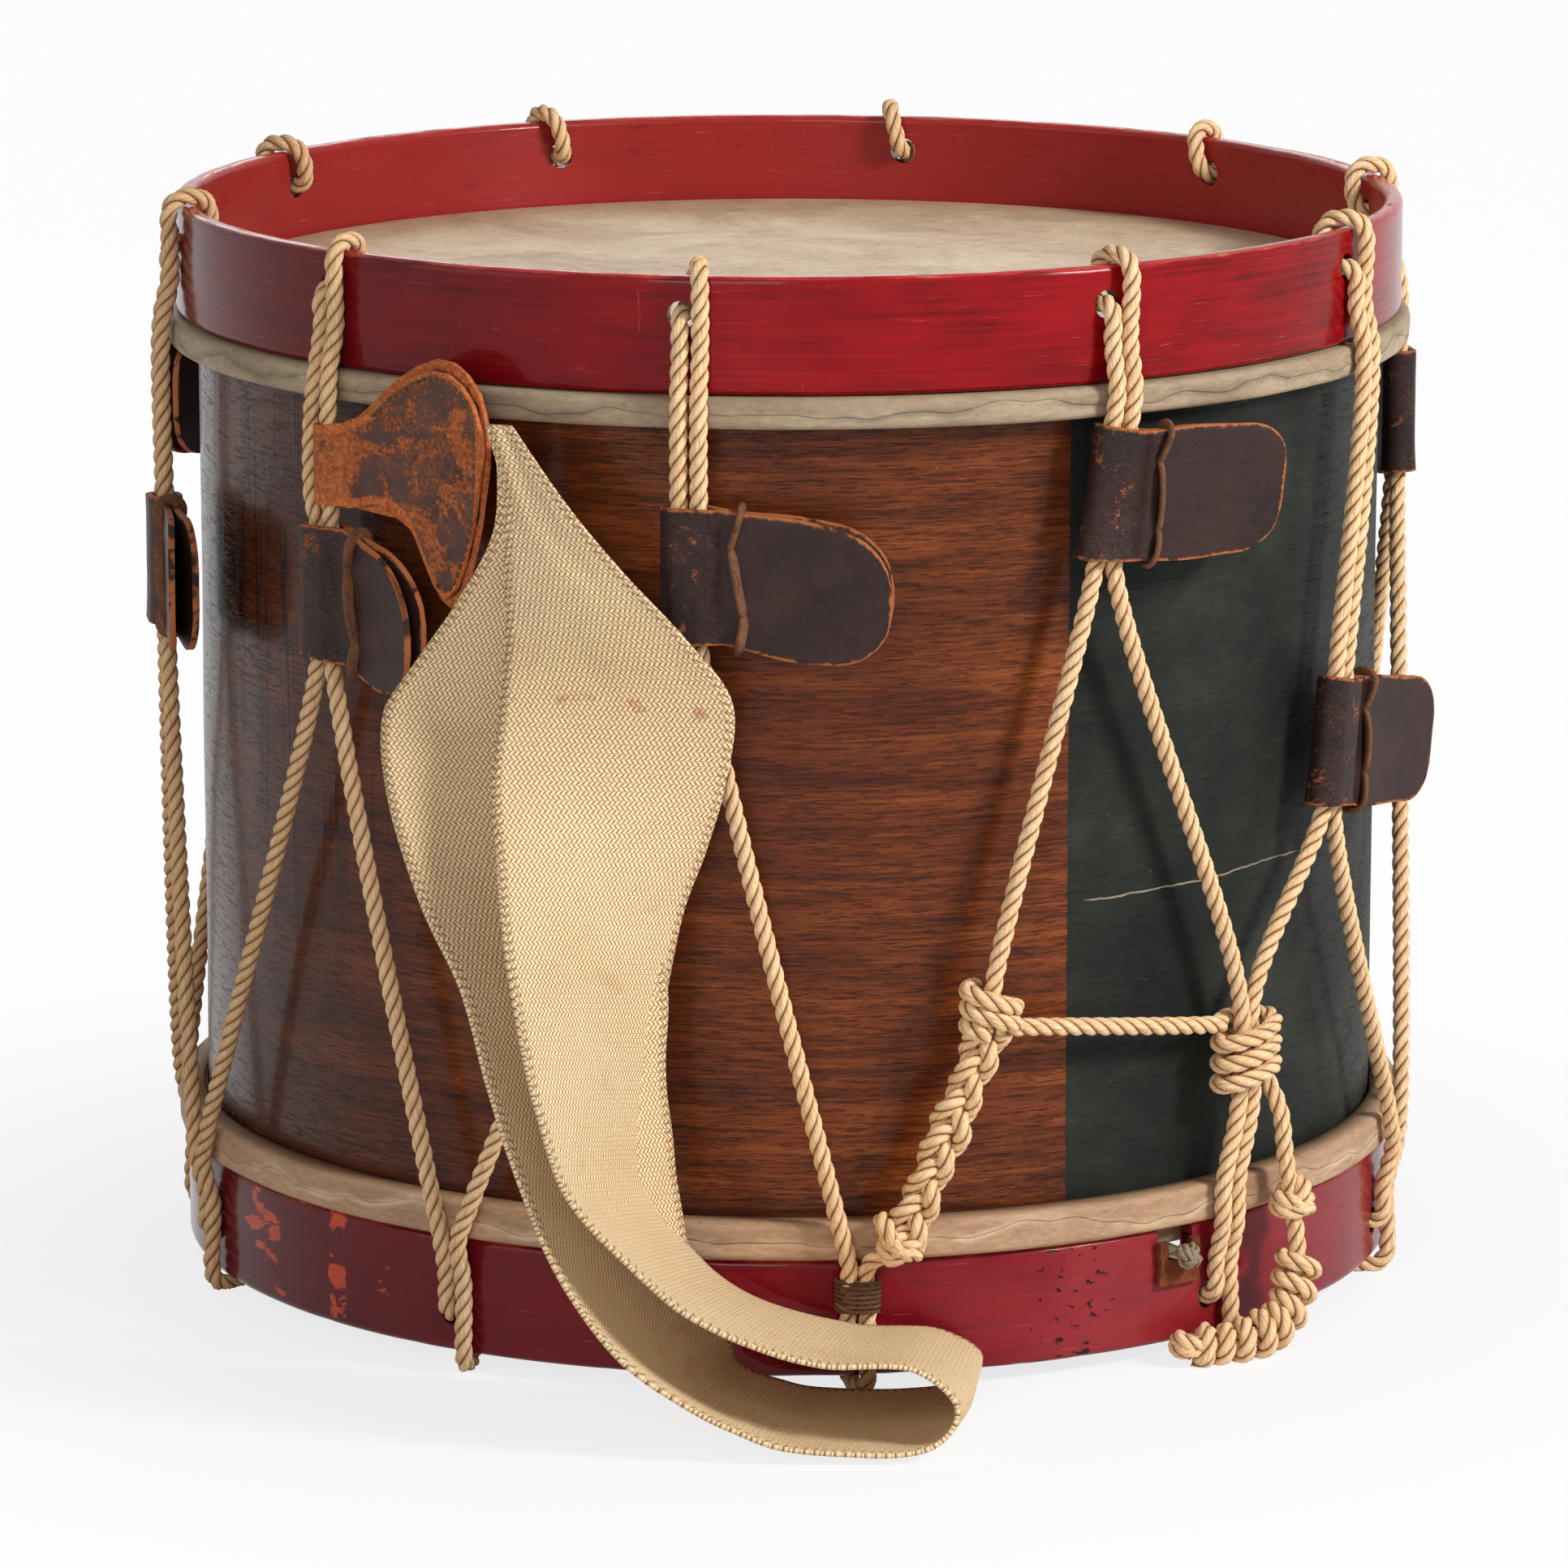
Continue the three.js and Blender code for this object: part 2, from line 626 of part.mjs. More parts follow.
// The section of a leather strip folded round the strands: x to the right, -y outwards
function foldedStrip({ halfSpan, inner, leather, throat, gap, reach, curl }) {
  const outer = inner + leather;
  const half = gap / 2;
  const neck = throat / 3;
  const meet = halfSpan + throat;
  const middle = (meet + reach) / 2;
  const strip = new THREE.Shape();
  strip.moveTo(reach, -half - leather - curl);
  strip.quadraticCurveTo(middle, -half - leather, meet, -half - leather);
  strip.bezierCurveTo(meet - neck, -half - leather, halfSpan + neck, -outer, halfSpan, -outer);
  strip.lineTo(-halfSpan, -outer);
  strip.absarc(-halfSpan, 0, outer, -Math.PI / 2, Math.PI / 2, true);
  strip.lineTo(halfSpan, outer);
  strip.bezierCurveTo(halfSpan + neck, outer, meet - neck, half + leather, meet, half + leather);
  strip.lineTo(reach, half + leather);
  strip.lineTo(reach, half);
  strip.lineTo(meet, half);
  strip.bezierCurveTo(meet - neck, half, halfSpan + neck, inner, halfSpan, inner);
  strip.lineTo(-halfSpan, inner);
  strip.absarc(-halfSpan, 0, inner, Math.PI / 2, -Math.PI / 2, false);
  strip.lineTo(halfSpan, -inner);
  strip.bezierCurveTo(halfSpan + neck, -inner, meet - neck, -half, meet, -half);
  strip.quadraticCurveTo(middle, -half, reach, -half - curl);
  strip.closePath();
  return strip;
}

// Extrudes a section upwards, centred on the height zero
function upright(section, height) {
  const options = { depth: height, bevelEnabled: false, curveSegments: foldSegments };
  const geometry = new THREE.ExtrudeGeometry(section, options);
  return geometry.translate(0, 0, -height / 2);
}

// A cutter that keeps what lies inside an outline seen from the front
function frontOutline(outline) {
  const depth = 4 * cutOverrun;
  const options = { depth, bevelEnabled: false, curveSegments: outlineSegments };
  const geometry = new THREE.ExtrudeGeometry(outline, options);
  return geometry.rotateX(Math.PI / 2).translate(0, depth / 2, 0);
}

function earOutline(reach) {
  const half = earHeight / 2;
  const outline = new THREE.Shape();
  outline.moveTo(-cutOverrun, -half);
  outline.lineTo(reach - earCorner, -half);
  outline.absarc(reach - earCorner, -half + earCorner, earCorner, -Math.PI / 2, 0, false);
  outline.absarc(reach - earCorner, half - earCorner, earCorner, 0, Math.PI / 2, false);
  outline.lineTo(-cutOverrun, half);
  outline.closePath();
  return outline;
}

const thongX = strandOffset + earThroat + thongOffset;

function thongSlit(z) {
  const room = 2 * clearance;
  const slit = new THREE.BoxGeometry(thongWidth + room, 2 * cutOverrun, thongThickness + room);
  return slit.translate(thongX, 0, z);
}

function ear(number) {
  const reach = number === shortEar ? shortEarReach : earReach;
  const section = foldedStrip({
    halfSpan: strandOffset,
    inner: earSleeveInner,
    leather: earLeather,
    throat: earThroat,
    gap: earFlapGap,
    reach,
    curl: earCurl,
  });
  const strip = solid(upright(section, earHeight));
  const shaped = strip.intersect(solid(frontOutline(earOutline(reach))));
  const slits = [thongSlit(thongSlitPitch / 2), thongSlit(-thongSlitPitch / 2)];
  const geometry = subtractAll(geometryOf(shaped), slits);
  const mesh = addPiece(`ear_${number}`, geometry, mat.leather);
  standAtEar(mesh, number);
}

// The thong's ladder: a rail down each side of the flaps, round both edges and through two slits
function earThong(number) {
  const insideY = earFlapGap / 2 + earLeather + clearance;
  const insideZ = earHeight / 2 + clearance;
  const outsideY = insideY + thongThickness;
  const outsideZ = insideZ + thongThickness;
  const ladder = new THREE.Shape(rectangle(-outsideY, -outsideZ, outsideY, outsideZ));
  const rung = thongThickness / 2;
  const bays = [
    [-insideZ, -thongSlitPitch / 2 - rung],
    [-thongSlitPitch / 2 + rung, thongSlitPitch / 2 - rung],
    [thongSlitPitch / 2 + rung, insideZ],
  ];
  bays.forEach(([low, high]) => {
    ladder.holes.push(new THREE.Path(rectangle(-insideY, low, insideY, high)));
  });
  const geometry = new THREE.ExtrudeGeometry(ladder, { depth: thongWidth, bevelEnabled: false });
  geometry.rotateX(Math.PI / 2).rotateZ(Math.PI / 2).translate(thongX - thongWidth / 2, 0, 0);
  const mesh = addPiece(`ear_thong_${number}`, geometry, mat.thong);
  standAtEar(mesh, number);
}

topStations.forEach((azimuth, i) => {
  ear(i + 1);
  earThong(i + 1);
});

// Sling tab: a strip folded round the right-hand strand, cut to a rounded leaf
const tabZ = earMiddles[slingStation - 1] + earHeight / 2 + tabFoldFromEar + tabFoldHeight / 2;

function slingTab() {
  const section = foldedStrip({
    halfSpan: 0,
    inner: ropeRadius + 2 * clearance,
    leather: tabLeather,
    throat: tabThroat,
    gap: earFlapGap,
    reach: tabReach + clearance,
    curl: 0,
  });
  const half = tabFoldHeight / 2;
  const leafPoints = tabOutlineShares.map(([x, z]) => new THREE.Vector2(x * tabReach, z * tabHeight));
  const leaf = new THREE.SplineCurve(leafPoints).getPoints(tabOutlineSteps);
  const outline = new THREE.Shape([
    new THREE.Vector2(-cutOverrun, -half),
    new THREE.Vector2(tabThroat, -half),
    ...leaf,
    new THREE.Vector2(tabThroat, half),
    new THREE.Vector2(-cutOverrun, half),
  ]);
  const shaped = solid(upright(section, 2 * tabHeight)).intersect(solid(frontOutline(outline)));
  const mesh = addPiece('sling_tab', geometryOf(shaped), mat.tab);
  standAt(mesh, topStations[slingStation - 1], strandOffset, strandRadius, tabZ);
}

slingTab();

// Webbing: a flat band through its stations, slightly crowned across
function webbingBand() {
  const centres = [];
  const halves = [];
  webStationShares.forEach(([azimuth, outShare, heightShare, turn, lean, breadthShare]) => {
    const radius = ropeFace + outShare * webWidth;
    const half = (breadthShare * webWidth) / 2;
    const flat = THREE.MathUtils.degToRad(azimuth + turn);
    const tilt = THREE.MathUtils.degToRad(lean);
    centres.push(atStation(azimuth, 0, radius, heightShare * drumHeight));
    halves.push(new THREE.Vector3(
      half * Math.cos(flat) * Math.cos(tilt),
      half * Math.sin(flat) * Math.cos(tilt),
      -half * Math.sin(tilt),
    ));
  });
  const centreLine = new THREE.CatmullRomCurve3(centres, false, 'catmullrom');
  const halfLine = new THREE.CatmullRomCurve3(halves, false, 'catmullrom');
  const steps = (centres.length - 1) * webStepsPerStation;
  const positions = [];
  const ring = 2 * webPointsAcross;
  for (let i = 0; i <= steps; i += 1) {
    const centre = centreLine.getPoint(i / steps);
    const half = halfLine.getPoint(i / steps);
    const along = centreLine.getTangent(i / steps);
    const normal = along.cross(half).normalize();
    const across = (share, side) => {
      const crown = webCrown * (1 - share * share) * (2 * half.length() / webWidth);
      const point = centre.clone().addScaledVector(half, share);
      return point.addScaledVector(normal, crown + (side * webThickness) / 2);
    };
    for (let j = 0; j < ring; j += 1) {
      const upper = j < webPointsAcross;
      const place = upper ? j : ring - 1 - j;
      const point = across((2 * place) / (webPointsAcross - 1) - 1, upper ? 1 : -1);
      positions.push(point.x, point.y, point.z);
    }
  }
  const faces = [];
  for (let i = 0; i < steps; i += 1) {
    for (let j = 0; j < ring; j += 1) {
      const a = i * ring + j;
      const b = i * ring + ((j + 1) % ring);
      faces.push(a, a + ring, b, b, a + ring, b + ring);
    }
  }
  const last = steps * ring;
  for (let j = 0; j < webPointsAcross - 1; j += 1) {
    const k = ring - 1 - j;
    faces.push(j, j + 1, k, j + 1, k - 1, k);
    faces.push(last + j, last + k, last + j + 1, last + j + 1, last + k, last + k - 1);
  }
  const geometry = new THREE.BufferGeometry();
  geometry.setAttribute('position', new THREE.Float32BufferAttribute(positions, 3));
  geometry.setIndex(faces);
  return geometry;
}

addPiece('sling_webbing', webbingBand(), mat.webbing);

// Snares: gut pairs that turn round the stirrup's bar and end in one knot outside the butt
const snareTurn = THREE.MathUtils.degToRad(snareAzimuth);
const strainerTurn = snareTurn + Math.PI;
const hoopFaceY = counterhoopOuter + clearance;
const stirrupBarY = hoopFaceY + stirrupSetback + stirrupBar / 2;

function ball(radius, flatten, centre) {
  const geometry = new THREE.SphereGeometry(radius, ballSides, ballSides / 2);
  return geometry.scale(1, flatten, 1).translate(centre.x, centre.y, centre.z);
}

const gutSpread = (gutPairs - 0.5) * gutPitch;
const knotGather = 0.5;
const knotY = -(hoopFaceY + buttLeather + clearance + buttKnotRadius * buttKnotShare);

function gutSnares() {
  const round = Math.hypot(stirrupBar, stirrupBar) / 2 + clearance + gutDiameter / 2;
  const pairs = [];
  for (let pair = 0; pair < gutPairs; pair += 1) {
    const left = (2 * pair - gutPairs + 0.5) * gutPitch;
    const right = left + gutPitch;
    const middle = (left + right) / 2;
    const route = [
      new THREE.Vector3(left * knotGather, knotY, gutZ),
      new THREE.Vector3(left, -counterhoopInner, gutZ),
      new THREE.Vector3(left, counterhoopInner, gutZ),
      new THREE.Vector3(left, stirrupBarY - round / 2, gutZ + round),
      new THREE.Vector3(left, stirrupBarY + round / 2, gutZ + round),
      new THREE.Vector3(middle, stirrupBarY + round, gutZ + round / 2),
      new THREE.Vector3(middle, stirrupBarY + round, gutZ - round / 2),
      new THREE.Vector3(right, stirrupBarY + round / 2, gutZ - round),
      new THREE.Vector3(right, stirrupBarY - round / 2, gutZ - round),
      new THREE.Vector3(right, counterhoopInner, gutZ),
      new THREE.Vector3(right, -counterhoopInner, gutZ),
      new THREE.Vector3(right * knotGather, knotY, gutZ),
    ];
    pairs.push(cord(route, gutDiameter / 2, gutSides));
  }
  const knot = ball(buttKnotRadius, buttKnotShare, new THREE.Vector3(0, knotY, gutZ));
  const mesh = addPiece('gut_snares', addAll([knot, ...pairs]), mat.gut);
  mesh.rotation.z = snareTurn;
}

gutSnares();

// The leather that the gut's knot bears on, open upwards where the strands pass
function snareButt() {
  const gathered = (hoopFaceY - counterhoopInner) / (-knotY - counterhoopInner);
  const slotHalf = gutSpread * THREE.MathUtils.lerp(1, knotGather, gathered) + gutDiameter;
  const slotLow = gutZ - gutDiameter;
  const plate = new THREE.Shape();
  plate.moveTo(-buttWidth / 2, gutZ - buttBelowGut);
  plate.lineTo(buttWidth / 2, gutZ - buttBelowGut);
  plate.lineTo(buttWidth / 2, gutZ + buttAboveGut);
  plate.lineTo(slotHalf, gutZ + buttAboveGut);
  plate.lineTo(slotHalf, slotLow);
  plate.lineTo(-slotHalf, slotLow);
  plate.lineTo(-slotHalf, gutZ + buttAboveGut);
  plate.lineTo(-buttWidth / 2, gutZ + buttAboveGut);
  plate.closePath();
  const geometry = new THREE.ExtrudeGeometry(plate, { depth: buttLeather, bevelEnabled: false });
  geometry.rotateX(Math.PI / 2).translate(0, -hoopFaceY, 0);
  const mesh = addPiece('snare_butt', geometry, mat.leather);
  mesh.rotation.z = snareTurn;
}

snareButt();

function rodAlong(radius, fromY, toY) {
  const rod = new THREE.CylinderGeometry(radius, radius, Math.abs(toY - fromY), holeSides);
  return rod.translate(0, (fromY + toY) / 2, gutZ);
}

const bridgeFaceY = hoopFaceY + bridgeStandoff;

function strainerBridge() {
  const half = bridgeHalfSpan;
  const foot = half + bridgeFootLength;
  const wall = bridgeThickness;
  const bridge = new THREE.Shape();
  bridge.moveTo(-foot, 0);
  bridge.lineTo(-half + wall, 0);
  bridge.lineTo(-half + wall, -bridgeStandoff + wall);
  bridge.lineTo(half - wall, -bridgeStandoff + wall);
  bridge.lineTo(half - wall, 0);
  bridge.lineTo(foot, 0);
  bridge.lineTo(foot, -wall);
  bridge.lineTo(half, -wall);
  bridge.lineTo(half, -bridgeStandoff);
  bridge.lineTo(-half, -bridgeStandoff);
  bridge.lineTo(-half, -wall);
  bridge.lineTo(-foot, -wall);
  bridge.closePath();
  const strap = upright(bridge, bridgeHeight).translate(0, -hoopFaceY, gutZ);
  const hole = rodAlong(rodRadius + clearance, -hoopFaceY - wall, -bridgeFaceY - cutOverrun);
  const mesh = addPiece('strainer_bridge', subtractAll(strap, [hole]), mat.brass);
  mesh.rotation.z = strainerTurn;
}

function strainerHook() {
  const near = -(hoopFaceY + stirrupSetback);
  const depth = 2 * stirrupBar + stirrupWindowDepth;
  const frame = new THREE.Shape(rectangle(-stirrupWidth / 2, near - depth, stirrupWidth / 2, near));
  frame.holes.push(new THREE.Path(rectangle(
    -stirrupWindowWidth / 2, near - depth + stirrupBar, stirrupWindowWidth / 2, near - stirrupBar)));
  const stirrup = upright(frame, stirrupBar).translate(0, 0, gutZ);
  const rod = rodAlong(rodRadius, near - depth + stirrupBar / 2, -bridgeFaceY - nutLength - rodBeyondNut);
  const mesh = addPiece('strainer_hook', addAll([stirrup, rod]), mat.brass);
  mesh.rotation.z = strainerTurn;
}

function strainerNut() {
  const near = -bridgeFaceY - clearance;
  const hub = rodAlong(nutRadius, near, near - nutLength);
  const wings = new THREE.BoxGeometry(2 * wingSpan, nutLength, wingThickness);
  wings.translate(0, near - nutLength / 2, gutZ);
  const bore = rodAlong(rodRadius + clearance, near + cutOverrun, near - nutLength - cutOverrun);
  const mesh = addPiece('strainer_nut', subtractAll(addAll([hub, wings]), [bore]), mat.brass);
  mesh.rotation.z = strainerTurn;
}

strainerBridge();
strainerHook();
strainerNut();

// The shortened leg: a hitch, a chain of hitches drawn as one thick cord, and a knot over the rope loop
const lowKnotZ = standHeight + lowKnotHeightShare * drumHeight;
const lowKnot = atStation(lowKnotAzimuth, 0, ropeFace + lowKnotOut, lowKnotZ);

function ropeSinnet() {
  const azimuth = bottomStations[shortenedLeg - 2];
  const midway = moveToRadius(hitch.clone().add(lowKnot).divideScalar(2), ropeFace);
  const chain = cord([hitch, midway, lowKnot], sinnetRadius);
  const foot = atStation(azimuth, strandOffset, strandRadius, bottomHoopHighZ);
  const tail = cord([lowKnot, foot, loopEnd(azimuth, strandOffset).next], ropeRadius);
  addPiece('rope_sinnet', addAll([
    chain,
    ball(hitchRadius, 1, hitch),
    ball(lowKnotRadius, 1, lowKnot),
    tail,
  ]), mat.rope);
}

ropeSinnet();

// The cross tie runs from the hitch to the winding that gathers two legs, behind them first
const windingHighZ = windingZ + (windingTurns * windingPitch) / 2;

function windingPoint(angle, turns) {
  const room = windingRoomShare / Math.cos(Math.PI / windingStepsPerTurn);
  const wide = (strandOffset + ropeDiameter + clearance) * room;
  const deep = (ropeDiameter + clearance) * room;
  const radians = THREE.MathUtils.degToRad(angle);
  const t = wide * Math.cos(radians);
  const z = windingHighZ - windingPitch * turns + t * Math.tan(THREE.MathUtils.degToRad(windingTilt));
  return atStation(windingAzimuth, t, strandRadius + deep * Math.sin(radians), z);
}

const windingPoints = [];
for (let step = 0; step <= windingTurns * windingStepsPerTurn; step += 1) {
  const turns = step / windingStepsPerTurn;
  windingPoints.push(windingPoint(windingStart + 360 * turns, turns));
}

const tieStart = atStation(hitchAzimuth, hitchRadius + ropeRadius, ropeFace, hitchZ - hitchRadius / 2);
addPiece('rope_cross_tie', cord([tieStart, ...windingPoints], ropeRadius), mat.rope);

// The least distance between turns, from the points a full turn apart
const turnGap = windingPoints[0].distanceTo(windingPoints[windingStepsPerTurn]) - ropeDiameter;
console.log(`winding: gap between turns ${turnGap.toFixed(2)} mm`);

// The rope's free end hangs from the winding, knotted, with its tip on the floor
function ropeTailEnd() {
  const last = windingPoints[windingPoints.length - 1];
  const previous = windingPoints[windingPoints.length - 2];
  const onward = last.clone().sub(previous).normalize();
  const outside = ([azimuth, out, z]) => atStation(azimuth, 0, ropeFace + out, z);
  const knot = outside(tailKnotPoint);
  const tip = outside(tailTipPoint);
  const route = [
    last.clone().addScaledVector(onward, clearance),
    last.clone().addScaledVector(onward, ropeRadius),
    ...tailUpperPoints.map(outside),
    knot,
    ...tailLowerPoints.map(outside),
    tip,
  ];
  addPiece('rope_tail', addAll([
    cord(route, ropeRadius),
    ball(tailKnotRadius, 1, knot),
    ball(tailEndRadius, 1, tip),
  ]), mat.rope);
}

ropeTailEnd();

// The origin lies on the floor under the middle of the drum's outline
const outline = new THREE.Box3().setFromObject(drum);
const middle = outline.getCenter(new THREE.Vector3());
drum.position.set(-middle.x, -middle.y, 0);
console.log(`drum axis at x ${(-middle.x).toFixed(2)} y ${(-middle.y).toFixed(2)} mm`);

export default drum;
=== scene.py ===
# %% [markdown]
# # A rope-tensioned field drum
#
# This notebook dresses a field drum in Blender: a varnished wooden shell between two red counterhoops,
# two skin heads, one long rope that zigzags between the hoops through ten leather ears, and a carrying
# sling of herringbone webbing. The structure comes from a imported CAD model. It is loaded first and never
# moved, so that everything made here can be measured against it. Lengths are in metres, +Z is up, and
# azimuths are counted in degrees from the front (-Y) towards the right (+X).

import math
import random

import bmesh
import bpy
import numpy as np
from mathutils import Matrix, Vector, noise


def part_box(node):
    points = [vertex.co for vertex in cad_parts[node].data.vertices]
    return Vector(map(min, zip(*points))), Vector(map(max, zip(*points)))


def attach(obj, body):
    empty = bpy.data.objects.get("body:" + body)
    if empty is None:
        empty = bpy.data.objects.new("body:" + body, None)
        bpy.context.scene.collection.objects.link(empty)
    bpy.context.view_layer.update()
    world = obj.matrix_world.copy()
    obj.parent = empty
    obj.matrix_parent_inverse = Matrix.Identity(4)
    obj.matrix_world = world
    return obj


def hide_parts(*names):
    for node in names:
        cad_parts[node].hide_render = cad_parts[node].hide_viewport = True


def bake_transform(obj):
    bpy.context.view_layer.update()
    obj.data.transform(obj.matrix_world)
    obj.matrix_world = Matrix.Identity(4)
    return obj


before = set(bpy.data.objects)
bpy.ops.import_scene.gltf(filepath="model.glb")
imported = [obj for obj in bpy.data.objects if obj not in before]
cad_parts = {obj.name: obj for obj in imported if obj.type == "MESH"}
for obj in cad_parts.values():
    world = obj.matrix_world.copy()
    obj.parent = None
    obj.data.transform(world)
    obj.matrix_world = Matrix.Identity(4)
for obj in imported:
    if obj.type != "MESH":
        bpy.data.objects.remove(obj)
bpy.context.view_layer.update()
shell_low, shell_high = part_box("shell")
axis = Vector(((shell_low.x + shell_high.x) / 2, (shell_low.y + shell_high.y) / 2, 0))
MM = 0.001
MERGE = 0.01 * MM
print("drum axis at", [round(value, 5) for value in axis])

# %% [markdown]
# ## The camera
#
# The photograph was taken from well back with a long lens, about 12 degrees above the horizon: the upper
# ellipse is open enough to show the batter head, and both sides of the drum stay nearly parallel. The
# camera is placed by its distance, its height angle and the point that it looks at.

# %% Camera
CAMERA_DISTANCE = 2.810
CAMERA_RISE = math.radians(11.85)
CAMERA_TARGET = axis + Vector((-0.0016, 0, 0.16018))
PHOTO_PIXELS = 1932
FOCAL_PIXELS = 9927
SENSOR_MM = 36


def new_object(name, data):
    made = bpy.data.objects.new(name, data)
    bpy.context.scene.collection.objects.link(made)
    return made


def aim(thing, place, direction):
    """Puts a camera or a lamp in its place and points it."""
    thing.location = place
    thing.rotation_mode = "QUATERNION"
    thing.rotation_quaternion = direction.to_track_quat("-Z", "Y")


camera_data = bpy.data.cameras.new("camera")
camera_data.sensor_width = SENSOR_MM
camera_data.lens = camera_data.sensor_width * FOCAL_PIXELS / PHOTO_PIXELS
camera = new_object("camera", camera_data)
back = Vector((0, -math.cos(CAMERA_RISE), math.sin(CAMERA_RISE)))
aim(camera, CAMERA_TARGET + back * CAMERA_DISTANCE, -back)
bpy.context.scene.camera = camera
print("lens", round(camera_data.lens, 1), "mm")

# %% [markdown]
# ## Places on the drum
#
# Almost everything on a drum is placed by going round it. A station is an azimuth with three offsets: t
# to the right along the hoop, a radius from the axis, and a height. One function turns that into a point.
# A rigid piece is easiest to model lying at the front, x to the right and -y outwards. One matrix then
# stands it at its station, and it is applied to the mesh, so that the object itself stays at the origin.

# %% Stations
def at_station(azimuth, t, radius, z):
    a = math.radians(azimuth)
    x = radius * math.sin(a) + t * math.cos(a)
    y = -radius * math.cos(a) + t * math.sin(a)
    return axis + Vector((x, y, z))


def station_matrix(azimuth, t, radius, z):
    turn = Matrix.Rotation(math.radians(azimuth), 4, "Z")
    return Matrix.Translation(at_station(azimuth, t, radius, z)) @ turn


def box_matrix(middle, size):
    """What makes a unit cube or square into a box of that size about its middle."""
    return Matrix.Translation(middle) @ Matrix.Diagonal((*size, 1))


def rows(first, last, count):
    """Evenly spaced values from the first to the last, both included."""
    return [first + (last - first) * i / count for i in range(count + 1)]


def from_axis(point):
    return Vector((point.x - axis.x, point.y - axis.y, 0))


def smooth_faces(mesh):
    for face in mesh.polygons:
        face.use_smooth = True


def mesh_object(name, bm, smooth=True):
    mesh = bpy.data.meshes.new(name)
    bm.to_mesh(mesh)
    bm.free()
    if smooth:
        smooth_faces(mesh)
    return new_object(name, mesh)


def applied(piece):
    """The piece with its modifiers made part of its mesh."""
    evaluated = piece.evaluated_get(bpy.context.evaluated_depsgraph_get())
    mesh = bpy.data.meshes.new_from_object(evaluated)
    old = piece.data
    piece.modifiers.clear()
    piece.data = mesh
    bpy.data.meshes.remove(old)
    mesh.name = piece.name


def thickened(piece, thickness, edge=0.0, even=True, rim=0):
    """Gives a sheet its thickness about its middle, and rounds its edges where a width is given."""
    solid = piece.modifiers.new("thickness", "SOLIDIFY")
    solid.thickness = thickness
    solid.offset = 0
    solid.use_even_offset = even
    solid.material_offset_rim = rim
    if edge:
        bevel = piece.modifiers.new("edge", "BEVEL")
        bevel.width = edge
        bevel.segments = 2
        bevel.angle_limit = math.radians(50)
    applied(piece)


# %% [markdown]
# ## Sizes
#
# The heights and radii below are the drum's own: hoops, heads and rope. They repeat the CAD model's
# values, because ropes and leather made here have to lie exactly where its plain solids lie. PAIR is half
# the distance between two strands side by side, and GAP the room left between neighbouring pieces.

# %% Sizes
SHELL = 203 * MM
SHELL_WALL = 7 * MM
STAND = 5.88 * MM
DRUM_HEIGHT = 363 * MM
RIM_Z = STAND + DRUM_HEIGHT
HOOP_IN = 204.2 * MM
HOOP_OUT = 210.4 * MM
FLESH_OUT = 213.5 * MM
TOP_HOOP_LOW = RIM_Z - 38.4 * MM
BOTTOM_HOOP_HIGH = STAND + 39.4 * MM
BATTER_Z = TOP_HOOP_LOW + 8 * MM
SNARE_Z = BOTTOM_HOOP_HIGH - 8 * MM
GAP = 0.3 * MM
TOP_FLESH = (TOP_HOOP_LOW - 10.6 * MM, TOP_HOOP_LOW - GAP)
BOTTOM_FLESH = (BOTTOM_HOOP_HIGH + GAP, BOTTOM_HOOP_HIGH + 13.3 * MM)
ROPE = 6.2 * MM
ROPE_R = ROPE / 2
PAIR = 3.25 * MM
ROPE_RADIUS = FLESH_OUT + GAP + ROPE_R
ROPE_FACE = ROPE_RADIUS + ROPE_R
HOOP_ROPE = HOOP_OUT + GAP + ROPE_R
INSIDE_ROPE = HOOP_IN - 0.8 * MM - ROPE_R
TOP_HOLE_Z = RIM_Z - 12.5 * MM
BOTTOM_HOLE_Z = STAND + 13.5 * MM
SNARE_AZIMUTH = 37.5
TOPS = [-79, -44.5, -8.5, 30, 62.5, 101, 133, 169, 205, 240]
BOTTOMS = [-68, -31, 6, 42.5, 74, 117, 151, 187, 227, 261]
EARS = [-79, -44.5, -8.5, 28.8, 57, 101, 133, 169, 205, 240]
EAR_SHARES = [0.668, 0.694, 0.738, 0.799, 0.534, 0.772, 0.757, 0.702, 0.755, 0.782]
EAR_HEIGHT = 43 * MM
EAR_Z = [STAND + share * DRUM_HEIGHT for share in EAR_SHARES]
HOLE = 4.6 * MM
HITCH = (17.5, ROPE_FACE, STAND + 0.337 * DRUM_HEIGHT)
LOW_KNOT = (9.4, ROPE_FACE + 1.8 * MM, STAND + 0.128 * DRUM_HEIGHT)
WINDING_AZIMUTH = 44.3
WINDING_Z = STAND + 0.267 * DRUM_HEIGHT
WINDING_TURNS = 3.35
WINDING_PITCH = 6.9 * MM
WINDING_TILT = math.radians(8)
print("rim at", round(RIM_Z, 4), "ropes at radius", round(ROPE_RADIUS, 5))

# %% [markdown]
# ## Writing materials as arithmetic
#
# A procedural material is a sum of patterns, and sums are easier to read as formulas than as a web of
# nodes. The class below wraps one socket. Adding, subtracting or multiplying wrapped sockets, or raising
# one to a power, adds the Math nodes for it. Every other node comes from one method, which is given the
# node's type, its settings, and what goes into its sockets.

